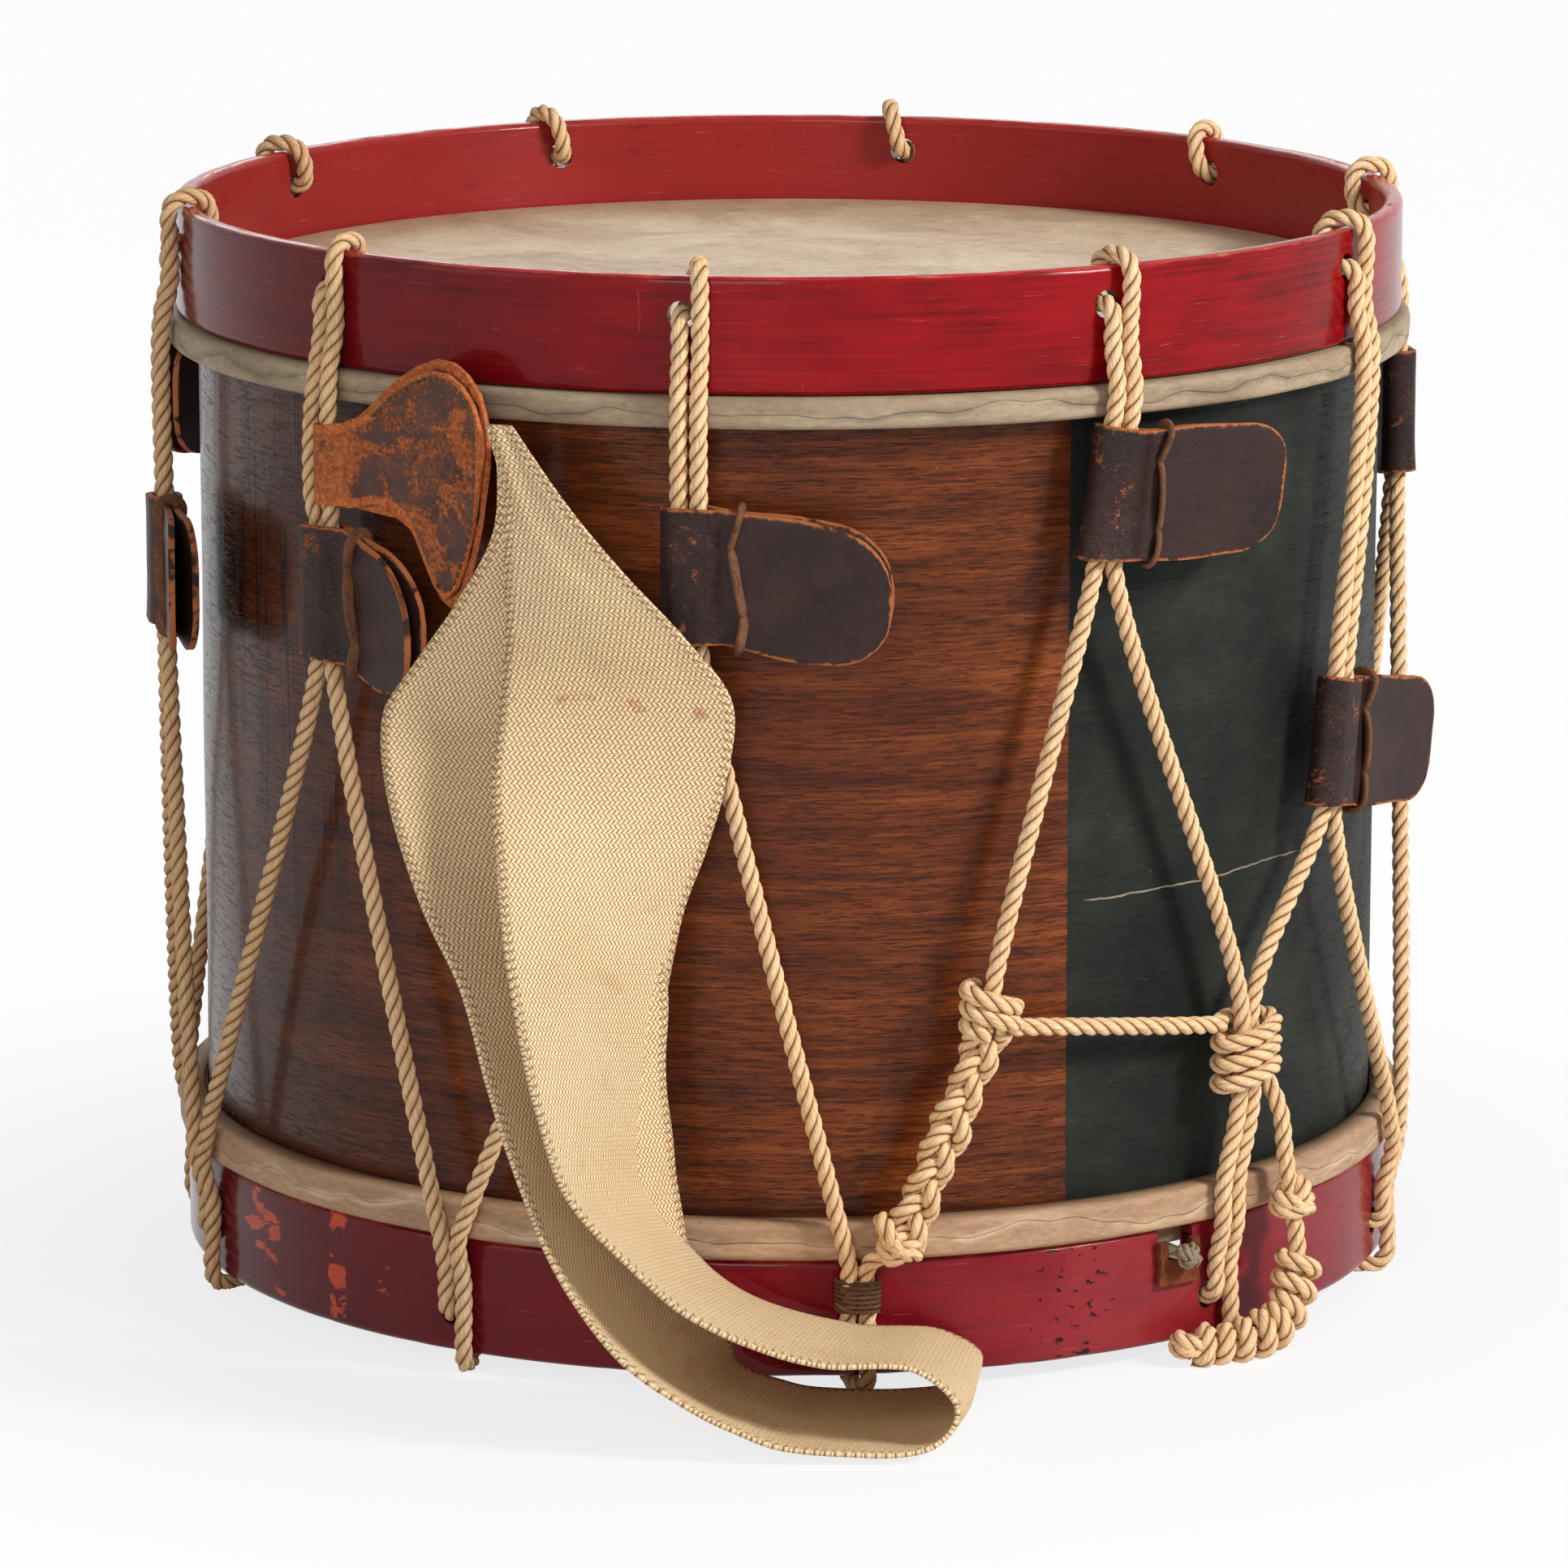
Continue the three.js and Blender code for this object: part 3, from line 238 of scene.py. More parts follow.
# %% Sockets with arithmetic
class Wire:
    def __init__(self, tree, socket=None):
        self.tree = tree
        self.socket = socket

    def node(self, kind, settings=None, inputs=None, out=0):
        node = self.tree.nodes.new("ShaderNode" + kind)
        for name, value in (settings or {}).items():
            if name == "stops":
                ramp = node.color_ramp
                while len(ramp.elements) < len(value):
                    ramp.elements.new(0.5)
                for element, (place, colour) in zip(ramp.elements, value):
                    element.position = place
                    element.color = (*colour, 1)
            else:
                setattr(node, name, value)
        for key, value in (inputs or {}).items():
            if isinstance(value, Wire):
                self.tree.links.new(value.socket, node.inputs[key])
            elif isinstance(value, tuple) and len(value) == 3 and node.inputs[key].type == "RGBA":
                node.inputs[key].default_value = (*value, 1)
            else:
                node.inputs[key].default_value = value
        return Wire(self.tree, node.outputs[out] if len(node.outputs) else None)

    def maths(self, operation, *values):
        return self.node("Math", {"operation": operation}, dict(enumerate(values)))

    def of(self, operation, *values):
        """A Math node that starts with this wire."""
        return self.maths(operation, self, *values)

    def __add__(self, other):
        return self.of("ADD", other)

    def __radd__(self, other):
        return self.maths("ADD", other, self)

    def __sub__(self, other):
        return self.of("SUBTRACT", other)

    def __rsub__(self, other):
        return self.maths("SUBTRACT", other, self)

    def __mul__(self, other):
        return self.of("MULTIPLY", other)

    def __rmul__(self, other):
        return self.maths("MULTIPLY", other, self)

    def __pow__(self, other):
        return self.of("POWER", other)


# %% [markdown]
# A few helpers name the nodes that nearly every finish uses: noise at a stated size in millimetres, a
# ramp, a soft step, and a mix of two colours. A recipe is a function of the starting wire. It returns the
# colour, the roughness and the height of the surface, and one function builds the shader from them.

# %% Helpers for finishes
def grain(place, size_mm, detail=3.0, roughness=0.55, twist=0.0, stretch=(1, 1, 1)):
    """Noise with features about size_mm across, stretched along the axes given."""
    scale = tuple(1000 / (size_mm * share) for share in stretch)
    spread = place.node("Mapping", {"vector_type": "POINT"}, {"Vector": place, "Scale": scale})
    inputs = {"Vector": spread, "Scale": 1.0, "Detail": detail, "Roughness": roughness, "Distortion": twist}
    return place.node("TexNoise", None, inputs, "Fac")


def ramp(value, *stops):
    return value.node("ValToRGB", {"stops": stops}, {"Fac": value})


def step(value, low, high):
    settings = {"interpolation_type": "SMOOTHSTEP"}
    inputs = {"Value": value, "From Min": low, "From Max": high, "To Min": 0.0, "To Max": 1.0}
    return value.node("MapRange", settings, inputs)


def blend(share, first, second):
    settings = {"data_type": "RGBA", "blend_type": "MIX", "clamp_factor": True}
    return share.node("Mix", settings, {0: share, 6: first, 7: second}, 2)


def finish(name, recipe, bump_mm, metallic=0.0, specular=0.5, coat_roughness=0.1):
    material = bpy.data.materials.new(name)
    material.use_nodes = True
    tree = material.node_tree
    tree.nodes.clear()
    start = Wire(tree)
    made = recipe(start)
    inputs = {"Base Color": made["colour"], "Roughness": made["roughness"], "Metallic": metallic}
    inputs["Specular IOR Level"] = specular
    inputs["Coat Roughness"] = coat_roughness
    if "coat" in made:
        inputs["Coat Weight"] = made["coat"]
    if "height" in made:
        distance = {"Strength": 1.0, "Distance": bump_mm * MM, "Height": made["height"]}
        inputs["Normal"] = start.node("Bump", None, distance)
    shader = start.node("BsdfPrincipled", None, inputs)
    start.node("OutputMaterial", None, {"Surface": shader})
    return material


def size_of(value):
    return value.of("ABSOLUTE")


def object_place(wire):
    return wire.node("TexCoord", None, None, "Object")


def wear(piece, *materials):
    piece.data.materials.clear()
    for material in materials:
        piece.data.materials.append(material)


# %% [markdown]
# ## Rope
#
# The drum is laced with three-strand rope, laid to the right, about 6.2 mm thick. A smooth tube never
# looks like rope, because the eye goes straight to the spiral grooves. So the section swept along each
# route has three lobes, and it turns once per lay, about 17 mm, as it goes. Blender's curves can do this:
# the lobed outline is the bevel object, and each point of the curve gets its own tilt.

# %% Rope section
ROPE_LAY = 16.9 * MM
ROPE_STEP = 1.3 * MM
LOBE_POINTS = 8
LOBE_SHARE = 0.6
LOBE_SHIFT_SHARE = 0.4


def section_of(name, outline):
    """A closed curve through the outline's points, to be swept along routes."""
    curve = bpy.data.curves.new(name, "CURVE")
    spline = curve.splines.new("POLY")
    spline.points.add(len(outline) - 1)
    for point, (x, y) in zip(spline.points, outline):
        point.co = (x, y, 0, 1)
    spline.use_cyclic_u = True
    return new_object(name, curve)


def lobed_section(name, radius):
    outline = []
    for angle in rows(0, 2 * math.pi, 3 * LOBE_POINTS)[:-1]:
        off = (angle + math.pi / 3) % (2 * math.pi / 3) - math.pi / 3
        across = LOBE_SHIFT_SHARE * math.sin(off)
        out = LOBE_SHIFT_SHARE * math.cos(off) + math.sqrt(LOBE_SHARE ** 2 - across ** 2)
        outline.append((radius * out * math.cos(angle), radius * out * math.sin(angle)))
    return section_of(name, outline)


rope_section = lobed_section("rope_section", ROPE_R)

# %% [markdown]
# A route is given by a few points. It is smoothed by a Catmull-Rom curve and then cut into equal short
# steps, so that the lay is even. The swept curve becomes a mesh, its doubled cap vertices are merged, and
# its UV map is stretched to real lengths: u goes once round the rope, and one unit of v is a metre of it.

# %% Rope maker
def smoothed(points, step):
    """Equal steps along a centripetal Catmull-Rom curve through the points."""
    p = [Vector(q) for q in points]
    p = [2 * p[0] - p[1], *p, 2 * p[-1] - p[-2]]
    dense = []
    for i in range(1, len(p) - 2):
        a, b, c, d = p[i - 1:i + 3]
        t0 = 0.0
        t1 = t0 + (b - a).length ** 0.5
        t2 = t1 + (c - b).length ** 0.5
        t3 = t2 + (d - c).length ** 0.5
        pieces = max(4, int((c - b).length / step * 2))
        for k in range(pieces):
            t = t1 + (t2 - t1) * k / pieces
            ab = a * ((t1 - t) / (t1 - t0)) + b * ((t - t0) / (t1 - t0))
            bc = b * ((t2 - t) / (t2 - t1)) + c * ((t - t1) / (t2 - t1))
            cd = c * ((t3 - t) / (t3 - t2)) + d * ((t - t2) / (t3 - t2))
            abc = ab * ((t2 - t) / (t2 - t0)) + bc * ((t - t0) / (t2 - t0))
            bcd = bc * ((t3 - t) / (t3 - t1)) + cd * ((t - t1) / (t3 - t1))
            dense.append(abc * ((t2 - t) / (t2 - t1)) + bcd * ((t - t1) / (t2 - t1)))
    dense.append(p[-2])
    lengths = [0.0]
    for first, second in zip(dense, dense[1:]):
        lengths.append(lengths[-1] + (second - first).length)
    count = max(2, round(lengths[-1] / step))
    even, k = [], 0
    for i in range(count + 1):
        want = lengths[-1] * i / count
        while k < len(dense) - 2 and lengths[k + 1] < want:
            k += 1
        span = lengths[k + 1] - lengths[k]
        even.append(dense[k].lerp(dense[k + 1], (want - lengths[k]) / span if span else 0))
    return even


def swept(name, path, section, lay=None, turn=0.0, radii=None):
    """A mesh tube of a section along a path, turned once per lay."""
    curve = bpy.data.curves.new(name, "CURVE")
    curve.dimensions = "3D"
    curve.bevel_mode = "OBJECT"
    curve.bevel_object = section
    curve.use_fill_caps = True
    curve.twist_mode = "MINIMUM"
    spline = curve.splines.new("POLY")
    spline.points.add(len(path) - 1)
    length = 0.0
    for i, (point, place) in enumerate(zip(spline.points, path)):
        length += (place - path[i - 1]).length if i else 0.0
        point.co = (*place, 1)
        point.tilt = turn + (2 * math.pi * length / lay if lay else 0.0)
        point.radius = radii(i / (len(path) - 1)) if radii else 1.0
    holder = bpy.data.objects.new(name, curve)
    bpy.context.scene.collection.objects.link(holder)
    evaluated = holder.evaluated_get(bpy.context.evaluated_depsgraph_get())
    mesh = bpy.data.meshes.new_from_object(evaluated)
    bpy.data.objects.remove(holder)
    bpy.data.curves.remove(curve)
    # The curve's own map runs along it first and round it second. Here it is round first, then along.
    layer = mesh.uv_layers[0].data
    uv = np.empty(len(layer) * 2, dtype=np.float32)
    layer.foreach_get("uv", uv)
    uv = uv.reshape(-1, 2)[:, ::-1].copy()
    uv[:, 1] *= length
    layer.foreach_set("uv", uv.ravel())
    bm = bmesh.new()
    bm.from_mesh(mesh)
    bmesh.ops.remove_doubles(bm, verts=bm.verts, dist=MERGE)
    bmesh.ops.recalc_face_normals(bm, faces=bm.faces)
    bm.to_mesh(mesh)
    bm.free()
    smooth_faces(mesh)
    return new_object(name, mesh), length


# %% [markdown]
# ## The ten runs of rope
#
# At every ear the rope climbs through the leather, goes in by a hole near the hoop's upper edge, comes
# back over the rim, and drops through the same leather again. Below, it goes under the lower hoop in the
# same way, which is what the drum stands on. Each route is written once, as points beside an ear or on a
# station. Square corners are cut, so that the curve bends over them like rope. Above the ear that the sling
# hangs at, the left strand stands aside, to leave room for the sling's leather tab.

# %% Routes through the ears
SLING_EAR = 1
SLEEVE_ROOM = 0.6 * MM
TAB_LEATHER = 1.6 * MM
EXIT = EAR_HEIGHT / 2 + 1 * MM
HOLE_CUT = 5 * MM * (1 - math.tan(math.pi / 8))
RIM_CUT = (2.3 * MM + ROPE_R) * (1 - math.tan(math.pi / 8))
OVER_Z = RIM_Z + ROPE_R - 0.5 * MM
UNDER_Z = ROPE_R - ROPE / 10
LEANED_Z = BOTTOM_HOOP_HIGH - 14 * MM


def ear_lean(i):
    aside = math.radians(TOPS[i] - EARS[i])
    return math.atan2(ROPE_RADIUS * math.sin(aside), TOP_HOOP_LOW - EAR_Z[i])


def beside_ear(i, t, up):
    lean = ear_lean(i)
    across = t * math.cos(lean) + up * math.sin(lean)
    z = EAR_Z[i] + up * math.cos(lean) - t * math.sin(lean)
    return at_station(EARS[i], across, ROPE_RADIUS, z)


def to_radius(point, radius):
    flat = from_axis(point)
    flat.length = radius
    return Vector((axis.x + flat.x, axis.y + flat.y, point.z))


def cut_corners(route):
    """Points of a route in which (point, cut) becomes two points, that far along its two sides."""
    bare = [item[0] if isinstance(item, tuple) else item for item in route]
    points = []
    for i, item in enumerate(route):
        if not isinstance(item, tuple):
            points.append(item)
            continue
        at, cut = item
        points.append(at + (bare[i - 1] - at).normalized() * cut)
        points.append(at + (bare[i + 1] - at).normalized() * cut)
    return points


def over_rim(i):
    """From the left strand above an ear, in by the hole, over the rim and back to the right strand."""
    place = lambda t, radius, z: at_station(TOPS[i], t, radius, z)
    aside = []
    if i == SLING_EAR:
        left = -(ROPE + SLEEVE_ROOM + TAB_LEATHER + GAP - PAIR)
        top = EAR_Z[i] + EAR_HEIGHT / 2
        aside = [place(left, ROPE_RADIUS, top + up) for up in (8 * MM, 34 * MM)]
    return cut_corners([
        beside_ear(i, -PAIR, 0),
        beside_ear(i, -PAIR, EXIT),
        *aside,
        place(-PAIR, ROPE_RADIUS, TOP_HOOP_LOW - 2 * MM),
        place(-PAIR, HOOP_ROPE, TOP_HOOP_LOW + 14 * MM),
        (place(-PAIR, HOOP_ROPE, TOP_HOLE_Z), HOLE_CUT),
        (place(-PAIR, INSIDE_ROPE, TOP_HOLE_Z), HOLE_CUT),
        (place(0.2 * PAIR, INSIDE_ROPE, OVER_Z), RIM_CUT),
        (place(PAIR, HOOP_ROPE, OVER_Z), RIM_CUT),
        place(PAIR, HOOP_ROPE, TOP_HOOP_LOW + 14 * MM),
        place(PAIR, ROPE_RADIUS, TOP_HOOP_LOW - 2 * MM),
        beside_ear(i, PAIR, EXIT),
        beside_ear(i, PAIR, 0),
    ])


def leg(i, side, azimuth, t):
    """Down one leg, from inside an ear to the lower hoop's upper edge."""
    foot = at_station(azimuth, t, ROPE_RADIUS, BOTTOM_HOOP_HIGH)
    ear = beside_ear(i, side * PAIR, -EXIT)
    above = foot.lerp(ear, (BOTTOM_FLESH[1] - foot.z) / (ear.z - foot.z))
    return [beside_ear(i, side * PAIR, 0), ear, to_radius(above, ROPE_RADIUS + 0.3 * MM), foot]


def wound_leg(i, side, t):
    """A leg that is drawn through the winding on its way down."""
    half = WINDING_TURNS * WINDING_PITCH / 2 + ROPE
    foot = at_station(BOTTOMS[3], t, ROPE_RADIUS, BOTTOM_HOOP_HIGH)
    return [
        beside_ear(i, side * PAIR, 0),
        beside_ear(i, side * PAIR, -EXIT),
        at_station(WINDING_AZIMUTH, t, ROPE_RADIUS, WINDING_Z + half),
        at_station(WINDING_AZIMUTH, t, ROPE_RADIUS, WINDING_Z - half),
        to_radius(Vector((foot.x, foot.y, BOTTOM_FLESH[1])), ROPE_RADIUS + 0.3 * MM),
        foot,
    ]


def under_hoop(k):
    """In by the hole, down inside the lower hoop, under it and up its face."""
    place = lambda t, radius, z: at_station(BOTTOMS[k], t, radius, z)
    return [
        place(-PAIR, HOOP_ROPE, LEANED_Z),
        (place(-PAIR, HOOP_ROPE, BOTTOM_HOLE_Z), HOLE_CUT),
        (place(-PAIR, INSIDE_ROPE, BOTTOM_HOLE_Z), HOLE_CUT),
        (place(-PAIR / 2, INSIDE_ROPE, UNDER_Z), RIM_CUT),
        (place(PAIR, HOOP_ROPE, UNDER_Z), RIM_CUT),
        place(PAIR, HOOP_ROPE, LEANED_Z),
    ]


print("ear 5 leans", round(math.degrees(ear_lean(4)), 1), "degrees")

# %% [markdown]
# An ear slides, so its rope has to stretch between the ear and the hoops. Each run is therefore two
# pieces: a bight over the upper rim, and a pair of legs.
# Every cut lies where nobody sees it, inside the leather or inside the lower hoop. Where the drum stands
# on the rope, the rope is pressed flat on the floor. The third loop rises only to the low knot of a leg that
# has been shortened, and the fourth loop's two legs go through a winding.

# %% Ropes of the ears
FLOOR_GAP = 0.2 * MM


def split_at_inside(path):
    """The index of the path's point deepest inside the lower hoop."""
    reach = [from_axis(p).length for p in path]
    return reach.index(min(reach))


def pressed_on_floor(piece):
    mesh = piece.data
    places = np.empty(len(mesh.vertices) * 3, dtype=np.float32)
    mesh.vertices.foreach_get("co", places)
    places = places.reshape(-1, 3)
    places[:, 2] = np.maximum(places[:, 2], FLOOR_GAP)
    mesh.vertices.foreach_set("co", places.ravel())


def joined(name, pieces):
    first = pieces[0]
    with bpy.context.temp_override(active_object=first, selected_editable_objects=pieces):
        bpy.ops.object.join()
    first.name = name
    first.data.name = name
    return first


def rope(name, path, phase=0.0):
    return swept(name, path, rope_section, ROPE_LAY, phase)[0]


hitch = at_station(HITCH[0], 0, *HITCH[1:])
low_knot = at_station(LOW_KNOT[0], 0, *LOW_KNOT[1:])
rope_pieces = []
lower_parts = {i: [] for i in range(10)}
for k in range(10):
    after = (k + 1) % 10
    down = wound_leg(k, 1, -PAIR) if k == 3 else leg(k, 1, BOTTOMS[k], -PAIR)
    if k == 2:
        rise = [at_station(BOTTOMS[k], PAIR, ROPE_RADIUS, BOTTOM_HOOP_HIGH), low_knot]
    elif k == 3:
        rise = list(reversed(wound_leg(after, -1, PAIR)))
    else:
        rise = list(reversed(leg(after, -1, BOTTOMS[k], PAIR)))
    path = smoothed(cut_corners([*down, *under_hoop(k), *rise]), ROPE_STEP)
    split = split_at_inside(path)
    length_before = sum((b - a).length for a, b in zip(path[:split], path[1:split + 1]))
    phase = 2 * math.pi * length_before / ROPE_LAY
    lower_parts[k].append(rope("down", path[:split + 1]))
    if k == 2:
        sinnet_foot = rope("rope_sinnet_foot", path[split:], phase)
    else:
        lower_parts[after].append(rope("rise", path[split:], phase))

into_hitch = [beside_ear(3, -PAIR, 0), beside_ear(3, -PAIR, -EXIT), hitch + Vector((0, 0, 8.2 * MM)), hitch]
lower_parts[3].append(rope("hitched", smoothed(into_hitch, ROPE_STEP)))

ears_top = [beside_ear(i, 0, EXIT) for i in range(10)]
ears_low = [beside_ear(i, 0, -EXIT) for i in range(10)]
for i in range(10):
    body = f"ear_{i + 1}"
    bight = rope(f"rope_bight_{i + 1}", smoothed(over_rim(i), ROPE_STEP))
    start = at_station(TOPS[i], 0, ROPE_RADIUS, TOP_FLESH[0])
    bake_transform(bight)
    legs = joined(f"rope_legs_{i + 1}", lower_parts[i])
    pressed_on_floor(legs)
    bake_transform(legs)
    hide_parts(f"rope_run_{i + 1}")
    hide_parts(f"rope_loop_{i + 1}")
    rope_pieces += [bight, legs]
print("rope faces:", sum(len(p.data.polygons) for p in rope_pieces))

# %% [markdown]
# ## Knots
#
# On the right front one leg has been shortened. It ends in a hitch, from which a doubled rope goes down to
# a knot above the lower hoop, and a cross tie goes to a winding round the next two legs. A tight knot is
# mostly turns of rope lying across each other, so each one here is a few turns about its middle, whose
# tilt changes as they go round, entered and left by the rope itself.

# %% Turns of a knot
def turns_about(middle, radius, turns, tilt_from, tilt_to, start, facing, flat):
    """Turns about a middle, start round them in radians, which face an azimuth and are pressed flat."""
    points = []
    count = max(6, round(turns * 10))
    for i in range(count + 1):
        share = i / count
        angle = start + 2 * math.pi * turns * share
        place = Vector((radius * math.cos(angle), flat * radius * math.sin(angle), 0))
        tilt = Matrix.Rotation(tilt_from + (tilt_to - tilt_from) * share, 3, "Y")
        points.append(middle + Matrix.Rotation(math.radians(facing), 3, "Z") @ (tilt @ place))
    return points


def knot_turns(name, *turns):
    return rope(name, smoothed(turns_about(*turns), ROPE_STEP))


def helix(middle, high, low, wide, deep, turns, azimuth, start_degrees, tilt=0.0, each=18):
    """Turns going down round what stands at an azimuth, to the right in front where turns is positive."""
    count = round(abs(turns) * each)
    points = []
    for i in range(count + 1):
        share = i / count
        angle = math.radians(start_degrees - 360 * turns * share)
        t = wide * math.cos(angle)
        z = high + (low - high) * share + t * math.tan(tilt)
        points.append(at_station(azimuth, t, middle + deep * math.sin(angle), z))
    return points


hitch_turns = helix(
    ROPE_FACE - 1.5 * MM, HITCH[2] + 7 * MM, HITCH[2] - 7 * MM, 8 * MM, ROPE, 2.4, HITCH[0], 250, -0.2)
hitch_knot = rope("rope_hitch", smoothed(hitch_turns, ROPE_STEP))

chain_top = hitch + Vector((-0.001, 0, -0.005))
chain_middle = to_radius((chain_top + low_knot) / 2, ROPE_FACE + 1 * MM)
chain_line = smoothed([chain_top, chain_middle, low_knot], 2 * MM)
down_chain = (low_knot - chain_top).normalized()
across = down_chain.cross(Vector((0, -1, 0))).normalized()
outwards = across.cross(down_chain)


def braided(line, wide, deep, pitch, start):
    """One of three strands that cross like a plait, in and out of step with its neighbours."""
    points, length = [], 0.0
    for i, place in enumerate(line):
        length += (place - line[i - 1]).length if i else 0
        angle = start + 2 * math.pi * length / pitch
        swing = wide * (1 + 0.16 * math.sin(length * 190 + 1))
        points.append(place + across * (swing * math.sin(angle)) + outwards * (deep * math.sin(2 * angle)))
    return points


chain = [
    rope("chain", smoothed(braided(chain_line, 4.2 * MM, 3 * MM, 37 * MM, start), ROPE_STEP), start)
    for start in (0.4, 0.4 + 2 * math.pi / 3, 0.4 + 4 * math.pi / 3)
]
low_turns = [
    knot_turns("low_knot", low_knot, 5.4 * MM, 2.6, 0.85, -0.9, 1.2, LOW_KNOT[0], 0.95),
    knot_turns("low_loop", low_knot + Vector((-0.004, 0, 0.004)), 5.2 * MM, 1.1, 1.3, 1.1, 0.4, 10, 0.9),
]
sinnet = joined("rope_sinnet_made", [sinnet_foot, hitch_knot, *chain, *low_turns])
pressed_on_floor(sinnet)
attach(sinnet, "drum")
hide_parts("rope_sinnet")
rope_pieces.append(sinnet)
print("hitch at", [round(v, 4) for v in hitch], "low knot at", [round(v, 4) for v in low_knot])

# %% [markdown]
# The cross tie leaves the hitch, goes behind the two legs and makes more than three turns round them. The
# turns lie on an oval round the two ropes, a rope's width outside their middles, and slant up to the right.

# %% Cross tie and winding
POINTS_A_TURN = 12
ROOM = 1.08 / math.cos(math.pi / POINTS_A_TURN)
winding_high = WINDING_Z + WINDING_TURNS * WINDING_PITCH / 2
whole_turns = math.floor(WINDING_TURNS * POINTS_A_TURN) / POINTS_A_TURN
winding_low = winding_high - whole_turns * WINDING_PITCH
wide, deep = (PAIR + ROPE + GAP) * ROOM, (ROPE + GAP) * ROOM
winding_turns = helix(
    ROPE_RADIUS, winding_high, winding_low, wide, deep, -whole_turns, WINDING_AZIMUTH, 200,
    WINDING_TILT, POINTS_A_TURN)
tie_start = at_station(HITCH[0], 10 * MM, ROPE_FACE - 1 * MM, HITCH[2] - 5.5 * MM)
tie_path = smoothed([hitch + Vector((0, 0, -0.005)), tie_start, *winding_turns], ROPE_STEP)
cross_tie = rope("rope_cross_tie_made", tie_path)
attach(cross_tie, "drum")
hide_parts("rope_cross_tie")
rope_pieces.append(cross_tie)
print("winding from", round(winding_high, 4), "down by", round(whole_turns * WINDING_PITCH, 4))

# %% [markdown]
# What is left of the rope hangs from the winding. It is the only free cord on the drum: it has a knot
# halfway down, its end is doubled back and wound round itself, and it finishes in a small knot lying on
# the floor. The cord itself is one smooth tube along its route. Its knots are separate pieces on it.

# %% The free end
WRAPPED_BELOW = 31 * MM
WRAP_PITCH = 7.4 * MM


def outside_ropes(place):
    """The point at (azimuth, mm outside the ropes' faces, height in mm)."""
    azimuth, out, z = place
    return at_station(azimuth, 0, ROPE_FACE + out * MM, z * MM)


last, previous = winding_turns[-1], winding_turns[-2]
onward = (last - previous).normalized()
HALFWAY = (48.6, 4, 48)
HANGING = [
    (47.9, 0, 81), (48.2, 2, 64), HALFWAY, (48.4, 7, 27), (46.4, 8, 12), (42.5, 6, 6.5), (37.5, 0, 5.5)]
tail_route = [last + onward * GAP, last + onward * ROPE_R, *map(outside_ropes, HANGING)]
tail_path = smoothed(tail_route, ROPE_STEP)
tail, tail_length = swept("rope_free_end", tail_path, rope_section, ROPE_LAY)
knot_middle = outside_ropes(HALFWAY)
tip = tail_path[-1]
tail_knot = joined("rope_tail_knot", [
    knot_turns("knot", knot_middle, 5.2 * MM, 2.2, 0.8, -0.7, 0.5, 48, 0.95),
    knot_turns("knot_b", knot_middle + Vector((0, 0, 0.003)), 5.0 * MM, 1.0, -1.2, -1.0, 1.0, 40, 0.9),
])
low_part = [p for p in tail_path if p.z < WRAPPED_BELOW]
wrapped = []
for i, (place, beyond) in enumerate(zip(low_part, low_part[1:])):
    forward = (beyond - place).normalized()
    side = forward.cross(Vector((0, 0, 1))).normalized()
    angle = 2 * math.pi * i * ROPE_STEP / WRAP_PITCH
    reach = (5.3 + 0.5 * math.sin(i * 0.31)) * MM
    aside = side * (reach * math.cos(angle))
    wrapped.append(place + aside + side.cross(forward) * (reach * math.sin(angle)))
tail_end = joined("rope_tail_end", [
    rope("wrapped", smoothed(wrapped, ROPE_STEP)),
    knot_turns("end_knot", tip + Vector((-0.001, 0, 0.0015)), 4.4 * MM, 1.8, 0.9, -0.5, 0.2, 40, 0.9),
])
for piece in (tail, tail_knot, tail_end):
    pressed_on_floor(piece)
    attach(piece, "drum")
    rope_pieces.append(piece)
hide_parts("rope_tail")
print("free end:", round(tail_length, 4), "m")

# %% [markdown]
# The two ropes under the shortened leg are seized together with thin brown twine, six turns round both.

# %% Seizing
TWINE_LAY = 4 * MM
twine_section = lobed_section("twine_section", 0.75 * MM)
wide, deep = PAIR + ROPE_R + 0.7 * MM, ROPE_R + 0.9 * MM
seizing_turns = helix(HOOP_ROPE + 1.0 * MM, 0.0400, 0.0296, wide, deep, 6.5, BOTTOMS[2], 200)
twine_end = [
    seizing_turns[-1],
    at_station(4.5, 0, ROPE_FACE - 1 * MM, 0.0313),
    at_station(4.0, 0, ROPE_FACE + 0.5 * MM, 0.0333),
]
seizing = joined("rope_seizing", [
    swept(name, smoothed(route, 0.8 * MM), twine_section, TWINE_LAY)[0]
    for name, route in (("turns", seizing_turns), ("end", twine_end))
])
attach(seizing, "drum")
print("seizing faces:", len(seizing.data.polygons))

# %% [markdown]
# ## Turned rings: shell, heads and hoops
#
# A drum is round, so most of it is turned: an outline of radius and height is spun about the axis. The
# spin's last ring is merged with its first, and the normals are recalculated, because a spin can turn a
# form inside out. Rounded rims are arcs of the outline. Holes are cut by drill forms.

# %% Ring maker
def turned(outline, steps, closed=True):
    bm = bmesh.new()
    corners = [bm.verts.new((axis.x, axis.y - radius, z)) for radius, z in outline]
    edges = [bm.edges.new(pair) for pair in zip(corners, corners[1:])]
    if closed:
        edges.append(bm.edges.new((corners[-1], corners[0])))
    bmesh.ops.spin(
        bm, geom=corners + edges, cent=axis, axis=(0, 0, 1), angle=2 * math.pi, steps=steps, use_merge=True)
    bmesh.ops.remove_doubles(bm, verts=bm.verts, dist=MERGE)
    bmesh.ops.recalc_face_normals(bm, faces=bm.faces)
    return bm


